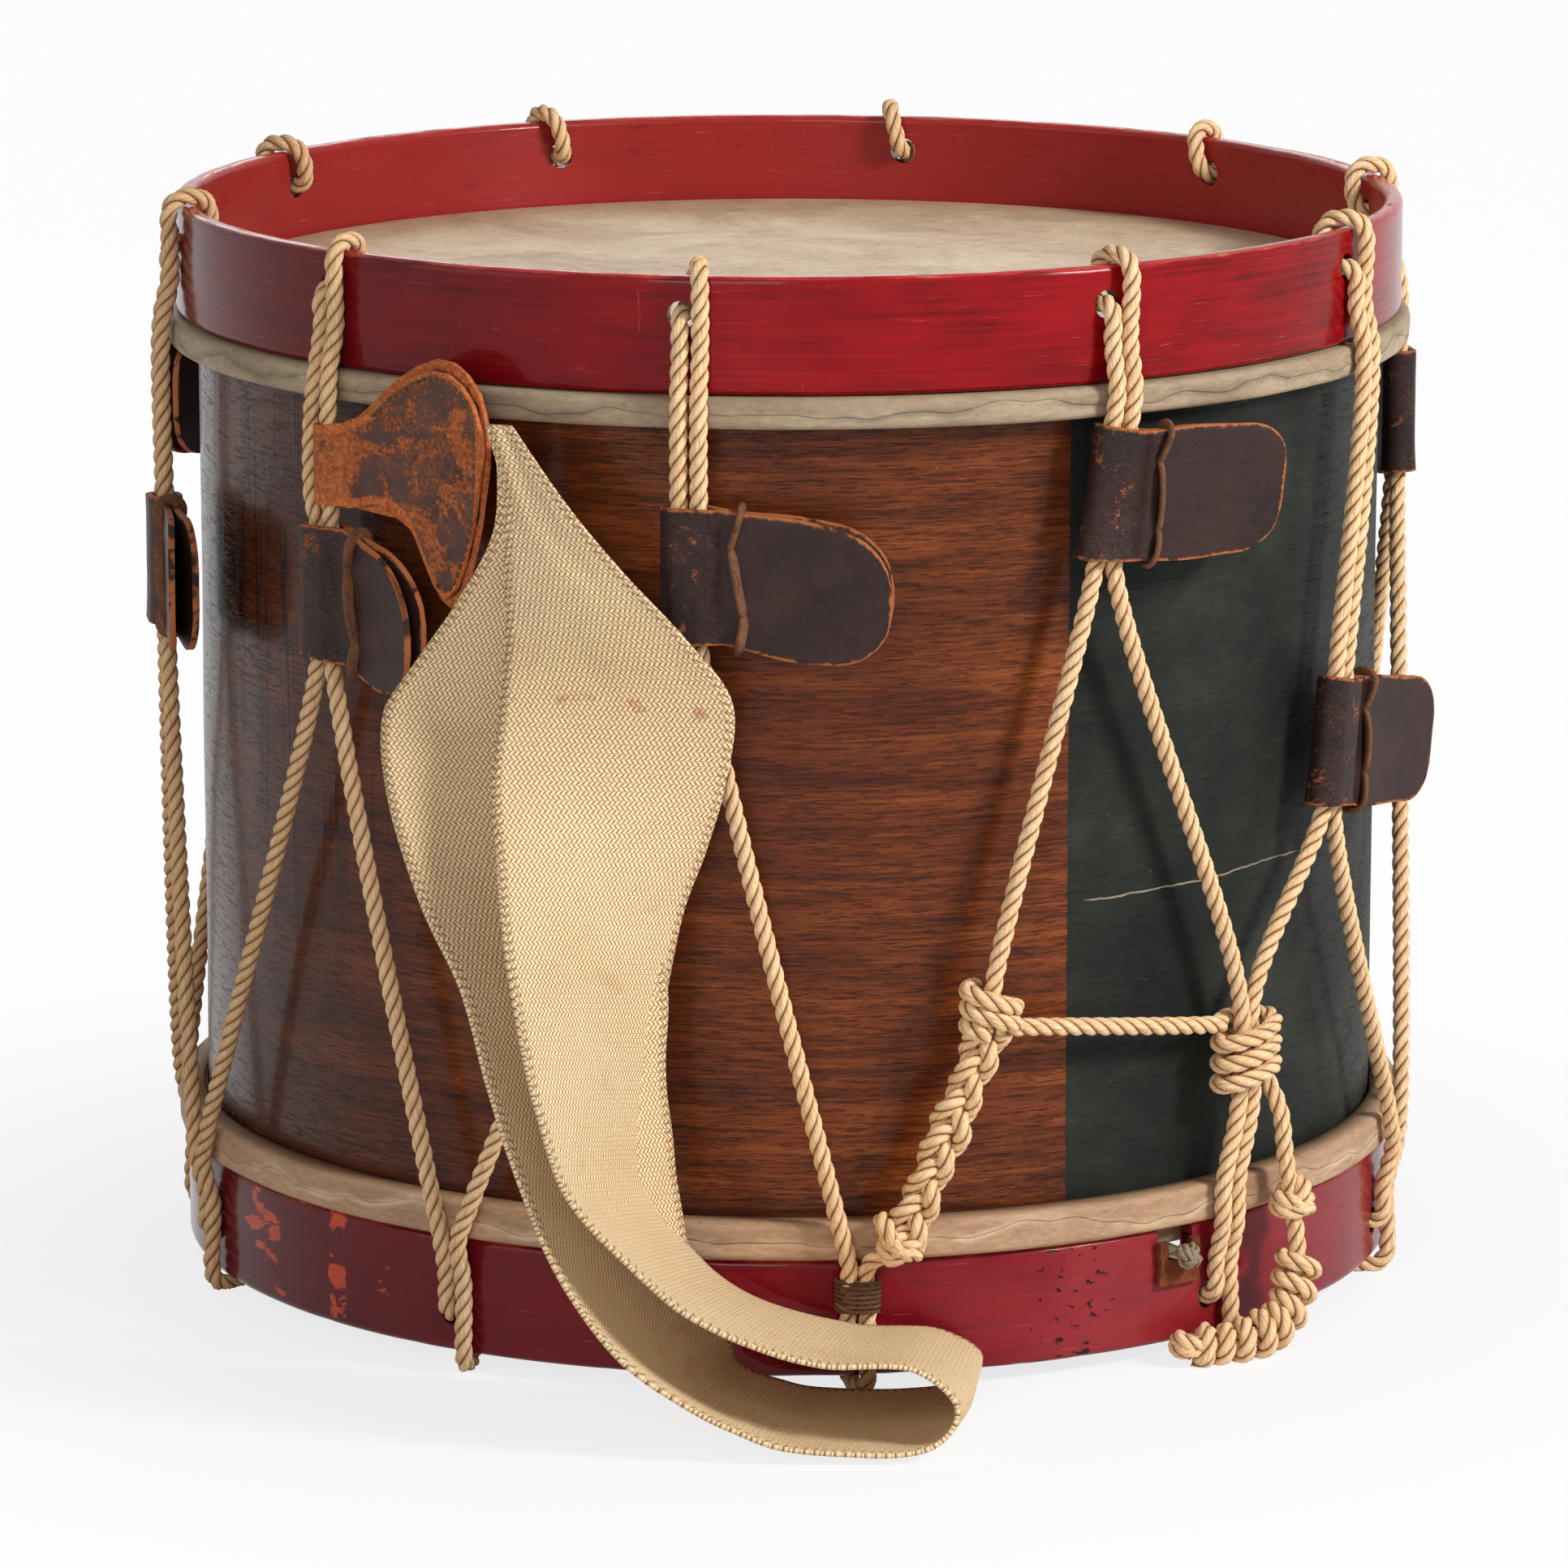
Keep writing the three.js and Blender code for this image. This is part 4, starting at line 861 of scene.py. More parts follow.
def bevelled(bm, edges, width, segments=3):
    bmesh.ops.bevel(
        bm, geom=edges, offset=width, segments=segments, profile=0.5, affect="EDGES", material=-1)


def cut_by(piece, cutter_bm):
    """Cuts a piece by a closed form, and keeps its sharp edges sharp."""
    cutter = mesh_object("cutter", cutter_bm)
    boolean = piece.modifiers.new("cut", "BOOLEAN")
    boolean.operation = "DIFFERENCE"
    boolean.solver = "EXACT"
    boolean.object = cutter
    applied(piece)
    bpy.data.objects.remove(cutter)
    piece.data.set_sharp_from_angle(angle=math.radians(32))


def round_bar(bm, place, radius, length):
    """A bar that points outwards from a place at the front."""
    turned_out = place @ Matrix.Rotation(math.pi / 2, 4, "X")
    bmesh.ops.create_cone(
        bm, cap_ends=True, segments=28, radius1=radius, radius2=radius, depth=length, matrix=turned_out)


def drill(bm, azimuth, t, radius, z, hole):
    round_bar(bm, station_matrix(azimuth, t, radius, z), hole, 40 * MM)


# %% [markdown]
# The shell is bent wood 7 mm thick, bevelled inwards at both edges where the heads bear. The vent hole in
# its hidden side is cut with a drill form. Its outer wall is given a very slight waviness, because an old
# shell is never quite round, and a highlight shows that at once.

# %% Shell
SHELL_TOP = BATTER_Z - 0.9 * MM
SHELL_LOW = SNARE_Z + 0.9 * MM
VENT_AZIMUTH = 150
inner = SHELL - SHELL_WALL
shell_outline = [(inner, SHELL_LOW + 4 * MM), (SHELL - 2 * MM, SHELL_LOW), (SHELL, SHELL_LOW + 2 * MM)]
shell_outline += [(SHELL, z) for z in rows(SHELL_LOW + 12 * MM, SHELL_TOP - 12 * MM, 22)]
shell_outline += [(SHELL, SHELL_TOP - 2 * MM), (SHELL - 2 * MM, SHELL_TOP), (inner, SHELL_TOP - 4 * MM)]
shell_outline += [(inner, z) for z in rows(SHELL_TOP - 12 * MM, SHELL_LOW + 12 * MM, 6)]
bm = turned(shell_outline, 240)
for vert in bm.verts:
    flat = from_axis(vert.co)
    if flat.length > SHELL - 0.5 * MM and SHELL_LOW + 6 * MM < vert.co.z < SHELL_TOP - 6 * MM:
        vert.co += flat.normalized() * 0.35 * MM * noise.noise(vert.co * 14)
shell = mesh_object("shell_made", bm)
vent = bmesh.new()
drill(vent, VENT_AZIMUTH, 0, SHELL, (SHELL_LOW + SHELL_TOP) / 2, 4 * MM)
cut_by(shell, vent)
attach(shell, "drum")
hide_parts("shell")
print("shell from", round(SHELL_LOW, 4), "to", round(SHELL_TOP, 4))

# %% [markdown]
# A head is one piece of skin. It lies over the bearing edge, goes down the shell, and is lapped round its
# flesh hoop while wet. Dried skin keeps the folds of that tucking, so the lapped part is pushed in and out
# by noise that changes quickly round the hoop and slowly up it. The playing surface is only slightly
# uneven.

# %% Heads
SKIN = 0.6 * MM
FLAT_SKIN = 195 * MM
EDGE_ROUND = 2.9 * MM
LAP_ROUND = 2.5 * MM


def arc(middle_r, middle_z, radius, from_degrees, to_degrees, count):
    places = []
    for degrees in rows(from_degrees, to_degrees, count):
        angle = math.radians(degrees)
        places.append((middle_r + radius * math.cos(angle), middle_z + radius * math.sin(angle)))
    return places


def skin_head(name, node, face_z, near_z, far_z, seed):
    """A head with its playing surface at face_z, lapped from near_z to far_z."""
    into = 1 if far_z > face_z else -1
    lap = SHELL + 0.9 * MM
    edge_r = FLESH_OUT - LAP_ROUND
    near_round, far_round = near_z + into * LAP_ROUND, far_z - into * LAP_ROUND
    outline = [(r, face_z) for r in rows(0, FLAT_SKIN, 10)]
    outline += arc(SHELL - 2 * MM, face_z + into * EDGE_ROUND, EDGE_ROUND, -90 * into, 0, 4)
    outline += [(lap, near_z - into * 0.4 * MM), (lap + 1.2 * MM, near_z)]
    outline += arc(edge_r, near_round, LAP_ROUND, -90 * into, 0, 5)
    outline += [(FLESH_OUT, z) for z in rows(near_z + into * 3.2 * MM, far_z - into * 3.2 * MM, 7)]
    outline += arc(edge_r, far_round, LAP_ROUND, 0, 90 * into, 5)
    outline += [(lap + GAP, far_z)]
    inside = [(lap + GAP, far_z - into * SKIN)]
    inside += arc(edge_r, far_round, LAP_ROUND - SKIN, 90 * into, 0, 4)
    inside += arc(edge_r, near_round, LAP_ROUND - SKIN, 0, -90 * into, 4)
    inside += [(lap - SKIN, near_z + into * SKIN), (lap - SKIN, face_z + into * EDGE_ROUND)]
    inside += [(SHELL - 2 * MM, face_z + into * SKIN), (0, face_z + into * SKIN)]
    bm = turned(outline + inside, 300, closed=False)
    for vert in bm.verts:
        flat = from_axis(vert.co)
        if flat.length > FLESH_OUT - 2.6 * MM:
            angle = math.atan2(flat.x, -flat.y)
            round_hoop = Vector((9 * math.cos(angle), 9 * math.sin(angle), vert.co.z * 90 + seed))
            fold = noise.noise(round_hoop) + 0.5 * noise.noise(round_hoop * 2.7)
            vert.co += flat.normalized() * 0.42 * MM * (fold - 0.35)
        elif flat.length < 0.18:
            vert.co.z -= into * 0.25 * MM * (noise.noise(vert.co * 16) + 0.2)
    piece = mesh_object(name, bm)
    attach(piece, "drum")
    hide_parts(node)
    return piece


batter = skin_head("batter_head_made", "batter_head", BATTER_Z, TOP_FLESH[1], TOP_FLESH[0], 3.0)
snare_head = skin_head("snare_head_made", "snare_head", SNARE_Z, BOTTOM_FLESH[0], BOTTOM_FLESH[1], 8.0)
print("batter head at", round(BATTER_Z, 4), "snare head at", round(SNARE_Z, 4))

# %% [markdown]
# The counterhoops are ash hoops, painted red. A plain ring would look machined, so both walls wander by a
# few tenths of a millimetre and the rounded rims are worn unevenly. The rope holes are drilled through
# the finished ring, and the lower hoop also gets two gates where the snares pass under the head.

# %% Counterhoops
RIM_ROUND = 2.2 * MM
RIM_WEAR = 3 * MM


def counterhoop(name, node, low, high, stations, hole_z, gates=()):
    left, right = HOOP_IN + RIM_ROUND, HOOP_OUT - RIM_ROUND
    outline = [(HOOP_IN, z) for z in rows(high - RIM_WEAR, low + RIM_WEAR, 8)]
    outline += arc(left, low + RIM_ROUND, RIM_ROUND, 180, 270, 4)
    outline += arc(right, low + RIM_ROUND, RIM_ROUND, 270, 360, 4)
    outline += [(HOOP_OUT, z) for z in rows(low + RIM_WEAR, high - RIM_WEAR, 8)]
    outline += arc(right, high - RIM_ROUND, RIM_ROUND, 0, 90, 4)
    outline += arc(left, high - RIM_ROUND, RIM_ROUND, 90, 180, 4)
    bm = turned(outline, 288)
    for vert in bm.verts:
        flat = from_axis(vert.co).normalized()
        near_rim = min(abs(vert.co.z - low), abs(vert.co.z - high)) < RIM_WEAR
        vert.co += flat * 0.22 * MM * noise.noise(vert.co * 22 + Vector((0, 0, low * 40)))
        if near_rim:
            dent = noise.noise(vert.co * 55) + 0.6 * noise.noise(vert.co * 160)
            inwards = 1 if vert.co.z < (low + high) / 2 else -1
            vert.co.z += inwards * 0.35 * MM * max(0.0, dent)
    piece = mesh_object(name, bm)
    holes = bmesh.new()
    for azimuth in stations:
        drill(holes, azimuth, -PAIR, HOOP_OUT, hole_z, HOLE)
    for azimuth in gates:
        place = station_matrix(azimuth, 0, (HOOP_IN + HOOP_OUT) / 2, SNARE_Z - 4.1 * MM + 10 * MM)
        gate = place @ box_matrix((0, 0, 0), (15 * MM, 40 * MM, 20 * MM))
        bmesh.ops.create_cube(holes, size=1, matrix=gate)
    cut_by(piece, holes)
    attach(piece, "drum")
    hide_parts(node)
    return piece


top_hoop = counterhoop("top_counterhoop_made", "top_counterhoop", TOP_HOOP_LOW, RIM_Z, TOPS, TOP_HOLE_Z)
bottom_hoop = counterhoop(
    "bottom_counterhoop_made", "bottom_counterhoop", STAND, BOTTOM_HOOP_HIGH, BOTTOMS, BOTTOM_HOLE_Z,
    gates=(SNARE_AZIMUTH, SNARE_AZIMUTH + 180))
print("hoop faces:", len(top_hoop.data.polygons), len(bottom_hoop.data.polygons))

# %% [markdown]
# ## Leather ears
#
# An ear is a strip of harness leather folded round two strands, its two flaps laced together beside them.
# It starts as a flat grid. Each column of the grid is laid on the line that the strip's middle follows,
# seen from above, and each row is given the height that the cut outline has there. Solidify makes it
# 2.2 mm thick and puts the raw edge in its own material, and Bevel rounds that edge.

# %% Folded strips of leather
EAR_LEATHER = 2.2 * MM
THROAT = 9 * MM
BETWEEN_FLAPS = 0.4 * MM
WRINKLE = 0.2 * MM


def eased_line(points, count):
    """The ends of equal steps along a line, and the line's length."""
    lengths = [0.0]
    for a, b in zip(points, points[1:]):
        lengths.append(lengths[-1] + math.dist(a, b))
    even, k = [], 0
    for i in range(count + 1):
        want = lengths[-1] * i / count
        while k < len(points) - 2 and lengths[k + 1] < want:
            k += 1
        share = (want - lengths[k]) / (lengths[k + 1] - lengths[k])
        (ax, ay), (bx, by) = points[k], points[k + 1]
        even.append((ax + (bx - ax) * share, ay + (by - ay) * share))
    return even, lengths[-1]


def smoothstep(share):
    return share * share * (3 - 2 * share)


def strip_line(half_span, leather, reach, front_curl, back_curl):
    """The middle of a folded strip: the back flap's tip, round the ropes, the front flap's tip."""
    mid, half = ROPE_R + SLEEVE_ROOM + leather / 2, BETWEEN_FLAPS / 2 + leather / 2
    meet = half_span + THROAT
    line = []
    for share in rows(0, 1, 12):
        x = reach + (meet - reach) * share
        line.append((x, half + back_curl * (1 - share) ** 2))
    for share in rows(0, 1, 10)[1:]:
        ease = smoothstep(share)
        line.append((meet + (half_span - meet) * share, half + (mid - half) * ease))
    for degrees in rows(90, 270, 16):
        angle = math.radians(degrees)
        line.append((-half_span + mid * math.cos(angle), mid * math.sin(angle)))
    for share in rows(0, 1, 10):
        ease = smoothstep(share)
        line.append((half_span + (meet - half_span) * share, -mid + (mid - half) * ease))
    for share in rows(0, 1, 12)[1:]:
        line.append((meet + (reach - meet) * share, -half - front_curl * share ** 2))
    return line


def lay_map(bm, places):
    """A UV map on which each vertex lies at its place on the flat material, in metres."""
    uv = bm.loops.layers.uv.new("UVMap")
    for face in bm.faces:
        for loop in face.loops:
            loop[uv].uv = places[loop.vert]


def folded_leather(name, line, edges, place, columns, rows_up, thickness, seed, flare=0.0):
    """A strip along a line; edges(x, front) gives the low and the high edge's height there."""
    even, length = eased_line(line, columns)
    bm = bmesh.new()
    bmesh.ops.create_grid(bm, x_segments=columns, y_segments=rows_up, size=1)
    from_edge = bm.verts.layers.float.new("from_edge")
    strip_places = {}
    for vert in bm.verts:
        column = round((vert.co.x + 1) / 2 * columns)
        share = (vert.co.y + 1) / 2
        x, y = even[column]
        s = length * (column / columns - 0.5)
        low, high = edges(x, s > 0)
        z = low + (high - low) * share
        strip_places[vert] = (s, z)
        vert[from_edge] = min(z - low, high - z, length / 2 - abs(s))
        bump = noise.noise(Vector((s * 55 + seed, z * 55, seed)))
        bump += 0.5 * noise.noise(Vector((s * 150, z * 120, seed)))
        out = 1 if s > 0 else -1
        opened = 1 + (flare * max(0.0, -z / high) ** 3 if x < 14 * MM and high > 0 else 0.0)
        vert.co = Vector((x * opened if x < 0 else x, y * opened - out * WRINKLE * abs(bump), z))
    lay_map(bm, strip_places)
    bmesh.ops.recalc_face_normals(bm, faces=bm.faces)
    bmesh.ops.transform(bm, matrix=place, verts=bm.verts)
    piece = mesh_object(name, bm)
    thickened(piece, thickness, edge=thickness * 0.22, rim=1)
    smooth_faces(piece.data)
    return piece


# %% [markdown]
# No two ears are alike. Each has been cut by hand, pulled out of shape by its thong, and has dried with
# its flaps sagging or sprung apart. A small table gives each one its reach, how far its flaps sag and curl,
# how much its corners were rounded, how far its lower edge bulges, and how far the leather round the ropes
# flares at its lower end. Lengths are in millimetres.

# %% Ears
EAR_FACTS = [
    # reach, sag, curl in front, curl behind, corner, bulge of the lower edge, flare of the sleeve
    (60, 0.05, 3.5, 2.0, 15, 1.0, 0.1),
    (44, 0.4, 2.5, 2.0, 19, 2.5, 0.1),
    (66, 0.14, 0.8, 0.6, 19, 2.4, 0.08),
    (62, -0.13, 2.0, 1.6, 15, 0.5, 0.3),
    (60, -0.02, 2.5, 2.0, 14, 0.5, 0.15),
    (62, 0.06, 17.0, -7.0, 15, 1.0, 0.1),
    (61, 0.05, 3.5, 1.5, 16, 1.5, 0.15),
    (60, 0.08, 4.5, 2.0, 14, 0.5, 0.1),
    (62, 0.04, 3.0, 2.5, 16, 1.0, 0.2),
    (61, 0.06, 4.0, 1.5, 15, 1.5, 0.1),
]


def ear_edges(i):
    reach, sag, *_, corner, bulge, _ = EAR_FACTS[i]
    reach, corner, bulge = reach * MM, corner * MM, bulge * MM

    def edges(x, front):
        drop = sag * max(0.0, x - 12 * MM) * (1.0 if front else 0.8)
        half = EAR_HEIGHT / 2 + 0.4 * MM * math.sin(x * 170 + i)
        near_tip = max(0.0, corner - (reach - x))
        rounding = corner - math.sqrt(max(0.0, corner ** 2 - min(near_tip, corner) ** 2))
        belly = bulge * math.sin(math.pi * min(1.0, max(0.0, x / reach)))
        return -half + rounding - drop - belly, half - rounding - drop

    return edges


def standing_ear(i):
    return station_matrix(EARS[i], 0, ROPE_RADIUS, EAR_Z[i]) @ Matrix.Rotation(ear_lean(i), 4, "Y")


ear_pieces = []
for i, (reach, _, front_curl, back_curl, *_, flare) in enumerate(EAR_FACTS):
    line = strip_line(PAIR, EAR_LEATHER, reach * MM, front_curl * MM, back_curl * MM)
    ear = folded_leather(
        f"ear_leather_{i + 1}", line, ear_edges(i), standing_ear(i), 110, 26, EAR_LEATHER, i * 3.7, flare)
    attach(ear, f"ear_{i + 1}")
    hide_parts(f"ear_{i + 1}")
    ear_pieces.append(ear)
print("ear faces:", [len(e.data.polygons) for e in ear_pieces])

# %% [markdown]
# A thong is a thick strip of rawhide that goes over the flaps' upper edge, down through two holes and
# round their lower edge, in front and behind. Its section is a fat oval. Its three stitches slant, dip into
# the leather at the holes and stand proud between them, which is what makes it look sewn and not printed.

# %% Thongs
OVAL_POWER = 0.7


def flat_section(name, width, thickness, points=12):
    outline = []
    for angle in rows(0, 2 * math.pi, points)[:-1]:
        x = math.copysign(abs(math.cos(angle)) ** OVAL_POWER, math.cos(angle)) * width / 2
        y = math.copysign(abs(math.sin(angle)) ** OVAL_POWER, math.sin(angle)) * thickness / 2
        outline.append((x, y))
    return section_of(name, outline)


thong_section = flat_section("thong_section", 4.0 * MM, 2.0 * MM)
THONG_X = PAIR + 13 * MM
face = BETWEEN_FLAPS / 2 + EAR_LEATHER + 0.85 * MM
thong_pieces = []
for i in range(10):
    low, high = ear_edges(i)(THONG_X, True)
    chance = random.Random(40 + i)
    slant = chance.uniform(1.2, 2.6) * MM
    upper = high - 11 * MM + chance.uniform(-1, 1) * MM
    lower = low + 11 * MM + chance.uniform(-1, 1) * MM
    front = [
        (1 * MM, high + 0.9 * MM, -0.55 * face),
        (0.8 * MM, high - 1.5 * MM, -face - 0.5 * MM),
        (-0.3 * slant, (high + upper) / 2, -face - 0.5 * MM),
        (-slant, upper + 1.2 * MM, -face + 0.6 * MM),
        (-slant, upper, -face + 2 * MM),
        (-0.8 * slant, upper - 1.4 * MM, -face + 0.4 * MM),
        (0, (upper + lower) / 2, -face - 0.9 * MM),
        (0.8 * slant, lower + 1.4 * MM, -face + 0.4 * MM),
        (slant, lower, -face + 2 * MM),
        (slant, lower - 1.2 * MM, -face + 0.6 * MM),
        (0.8 * slant, (low + lower) / 2, -face - 0.5 * MM),
        (0.4 * slant, low + 1.5 * MM, -face - 0.5 * MM),
        (0.2 * slant, low - 0.9 * MM, -0.55 * face),
    ]
    behind = [(x, z, -y) for x, z, y in reversed(front)]
    route = [*front, *behind, front[0], front[1]]
    place = standing_ear(i)
    points = [place @ Vector((THONG_X + x, y, z)) for x, z, y in route]
    thong = swept(f"thong_{i + 1}", smoothed(points, 0.9 * MM), thong_section, turn=math.pi / 2)[0]
    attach(thong, f"ear_{i + 1}")
    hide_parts(f"ear_thong_{i + 1}")
    thong_pieces.append(thong)
print("thongs:", len(thong_pieces))

# %% [markdown]
# ## Carrying sling
#
# The sling hangs from a leather tab that is folded round one strand. Its two leaves are cut to a rounded
# outline, read here as low and high edges at each distance from the fold, in shares of the tab's size. The
# front leaf is a little smaller, and is stitched to the back one.

# %% Sling tab
TAB_SIZE = 75 * MM
TAB_TURN = 0.93
TAB_Z = EAR_Z[SLING_EAR] + EAR_HEIGHT / 2 + 8 * MM + 13 * MM
TAB_HIGH = [
    (0.0, 0.17), (0.12, 0.19), (0.2, 0.235), (0.3, 0.31), (0.42, 0.405), (0.55, 0.48), (0.67, 0.525),
    (0.78, 0.52), (0.87, 0.475), (0.94, 0.4), (0.985, 0.29), (1.0, 0.2),
]
TAB_LOW = [
    (0.0, -0.173), (0.3, -0.19), (0.42, -0.195), (0.5, -0.23), (0.56, -0.295), (0.62, -0.4), (0.69, -0.51),
    (0.76, -0.55), (0.82, -0.5), (0.88, -0.37), (0.94, -0.18), (1.0, 0.14),
]


def read_along(table, x):
    for (x0, y0), (x1, y1) in zip(table, table[1:]):
        if x <= x1:
            return y0 + (y1 - y0) * max(0.0, (x - x0) / (x1 - x0))
    return table[-1][1]


def tab_edges(x, front):
    share = min(1.0, max(0.0, x / TAB_SIZE))
    inset = 0.045 * min(1.0, max(0.0, (share - 0.15) / 0.15)) if front else 0.0
    low = read_along(TAB_LOW, share) + inset
    high = read_along(TAB_HIGH, share) - inset
    middle = (low + high) / 2
    return min(low, middle) * TAB_SIZE, max(high, middle) * TAB_SIZE


tab_line = strip_line(0, TAB_LEATHER, TAB_SIZE - 0.6 * MM, 0.6 * MM, 0.0)
tab_place = station_matrix(TOPS[SLING_EAR], PAIR, ROPE_RADIUS, TAB_Z)
tab = folded_leather("sling_tab_made", tab_line, tab_edges, tab_place, 130, 40, TAB_LEATHER, 61.0)
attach(tab, "sling")
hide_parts("sling_tab")


def tab_border(inset):
    """Points inside the front leaf's outline, from its upper edge round to its lower one."""
    upper = [(x, read_along(TAB_HIGH, x) - inset) for x in rows(0.3, TAB_TURN, 22)]
    lower = [(x, read_along(TAB_LOW, x) + inset) for x in rows(TAB_TURN, 0.7, 10)]
    tip = [(0.945, 0.25), (0.945, 0.1)]
    return [(x * TAB_SIZE, z * TAB_SIZE) for x, z in upper + tip + lower]


STITCH = 3.1 * MM
stitch_size = Matrix.Diagonal((1.35 * MM, 0.75 * MM, 0.75 * MM, 1))
leaf_front = -(BETWEEN_FLAPS / 2 + TAB_LEATHER + 0.5 * MM)
border = smoothed([Vector((x, leaf_front, z)) for x, z in tab_border(0.075)], STITCH)
bm = bmesh.new()
for place, beyond in zip(border, border[1:]):
    along = (beyond - place).to_track_quat("X", "Z").to_matrix().to_4x4()
    laid = tab_place @ Matrix.Translation((place + beyond) / 2) @ along @ stitch_size
    bmesh.ops.create_icosphere(bm, subdivisions=2, radius=1, matrix=laid)
tab_stitches = mesh_object("sling_tab_stitches", bm)
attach(tab_stitches, "sling")
print("tab faces:", len(tab.data.polygons), "stitches:", len(border) - 1)

# %% [markdown]
# The sling itself is a band of cotton webbing, 75 mm wide and sewn to the tab at both ends. It falls to
# the floor in front of the drum, folds over there and comes back up. Its route is a list of stations, each
# with a direction for its breadth. It is smoothed in the same way as in the CAD model, so both have the same
# folds. The grid is finer here, and has slight ripples, because a worn band never hangs perfectly flat.

# %% Webbing
WEB_WIDTH = 75 * MM
WEB_STATIONS = [
    # azimuth, how far out and how high as shares, turn, lean, share of the breadth
    (-23.4, 0.17, 0.887, 3, 0, 0.12), (-20.3, 0.19, 0.824, 2, 0, 0.27), (-17.9, 0.19, 0.763, 2, 0, 0.52),
    (-15.3, 0.185, 0.705, 1, 0, 0.79), (-13.6, 0.19, 0.647, 6, 0, 1), (-13.9, 0.26, 0.579, 22, 3, 1),
    (-13.9, 0.38, 0.523, 41, 5, 1), (-14.1, 0.5, 0.46, 56, 8, 1), (-14, 0.575, 0.353, 70, 12, 1),
    (-13.3, 0.595, 0.284, 76, 12, 1), (-12.2, 0.585, 0.22, 80, 12, 1), (-9.2, 0.55, 0.165, 83, 11, 1),
    (-4.7, 0.49, 0.116, 81, 9, 1), (3.2, 0.45, 0.08, 77, 6, 1), (9.8, 0.435, 0.072, 73, 6, 1),
    (13.2, 0.47, 0.042, 70, 3, 1), (10.2, 0.5, 0.012, 74, 0, 1), (1.6, 0.47, 0.013, 80, 1, 1),
    (-2.5, 0.475, 0.027, 80.5, 4, 1), (-5.6, 0.49, 0.046, 81.6, 6, 1), (-9.5, 0.515, 0.083, 81.5, 8, 1),
    (-12.6, 0.55, 0.149, 78.6, 9, 1), (-14.2, 0.54, 0.212, 74, 9, 1), (-15.3, 0.52, 0.268, 70, 8, 1),
    (-16.4, 0.49, 0.33, 66, 7, 1), (-17.1, 0.46, 0.4, 57, 5, 1), (-19.7, 0.38, 0.476, 44.7, 3, 1),
    (-22.6, 0.24, 0.556, 25, 1, 1), (-24, 0.155, 0.62, 12, 0, 1), (-23.5, 0.14, 0.664, 5.5, 0, 0.83),
    (-22.1, 0.13, 0.727, 6, 0, 0.55), (-21.2, 0.145, 0.793, 6, 0, 0.3), (-22.8, 0.125, 0.87, 5, 0, 0.12),
]


def through(points, place):
    """A point on the uniform Catmull-Rom curve through the points, place running from 0 to 1."""
    p = [2 * points[0] - points[1], *points, 2 * points[-1] - points[-2]]
    at = min(place, 0.999999) * (len(points) - 1)
    k, t = int(at), at - int(at)
    a, b, c, d = p[k:k + 4]
    m, n = (c - a) / 2, (d - b) / 2
    leaving = b * (2 * t ** 3 - 3 * t * t + 1) + m * (t ** 3 - 2 * t * t + t)
    return leaving + c * (3 * t * t - 2 * t ** 3) + n * (t ** 3 - t * t)


def half_breadth(azimuth, turn, lean, breadth):
    flat, tilt = math.radians(azimuth + turn), math.radians(lean)
    level = math.cos(tilt)
    sideways = Vector((math.cos(flat) * level, math.sin(flat) * level, -math.sin(tilt)))
    return sideways * (breadth * WEB_WIDTH / 2)


# The rising run is turned forwards about its left edge, so that it nearly touches the falling run.
RISING, FORWARDS = range(20, 28), 9
web_centres, web_halves = [], []
for k, (azimuth, out, high, turn, lean, breadth) in enumerate(WEB_STATIONS):
    half = half_breadth(azimuth, turn, lean, breadth)
    brought = half_breadth(azimuth, turn - FORWARDS, lean, breadth) if k in RISING else half
    centre = at_station(azimuth, 0, ROPE_FACE + out * WEB_WIDTH, high * DRUM_HEIGHT)
    web_centres.append(centre + brought - half)
    web_halves.append(brought)

WEB_ROWS, WEB_COLUMNS = 320, 24
bm = bmesh.new()
bmesh.ops.create_grid(bm, x_segments=WEB_COLUMNS, y_segments=WEB_ROWS, size=1)
from_edge = bm.verts.layers.float.new("from_edge")
web_places, web_length = [], 0.0
for row in range(WEB_ROWS + 1):
    share = row / WEB_ROWS
    centre, half = through(web_centres, share), through(web_halves, share)
    ahead, behind = (through(web_centres, at) for at in (min(1, share + 0.002), max(0, share - 0.002)))
    along = (ahead - behind).normalized()
    web_length += (centre - web_places[-1][0]).length if web_places else 0
    web_places.append((centre, half, along.cross(half).normalized(), web_length))
laid = {}
for vert in bm.verts:
    across, row = vert.co.x, round((vert.co.y + 1) / 2 * WEB_ROWS)
    centre, half, normal, length = web_places[row]
    crown = 1.5 * MM * (1 - across ** 2) * (2 * half.length / WEB_WIDTH)
    ripple = noise.noise(Vector((across * 1.3, length * 22, 2)))
    ripple += 0.4 * noise.noise(Vector((across * 3, length * 70, 7)))
    laid[vert] = (across * half.length, length)
    vert[from_edge] = half.length * (1 - abs(across))
    vert.co = centre + half * across + normal * (crown + 0.8 * MM * ripple)
lay_map(bm, laid)
web_area = sum(face.calc_area() for face in bm.faces)
webbing = mesh_object("sling_webbing_made", bm)
thickened(webbing, 1.6 * MM, even=False)
pressed_on_floor(webbing)
smooth_faces(webbing.data)
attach(webbing, "sling")
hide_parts("sling_webbing")
print("webbing:", round(web_length, 3), "m long,", round(web_area, 4), "square metres")
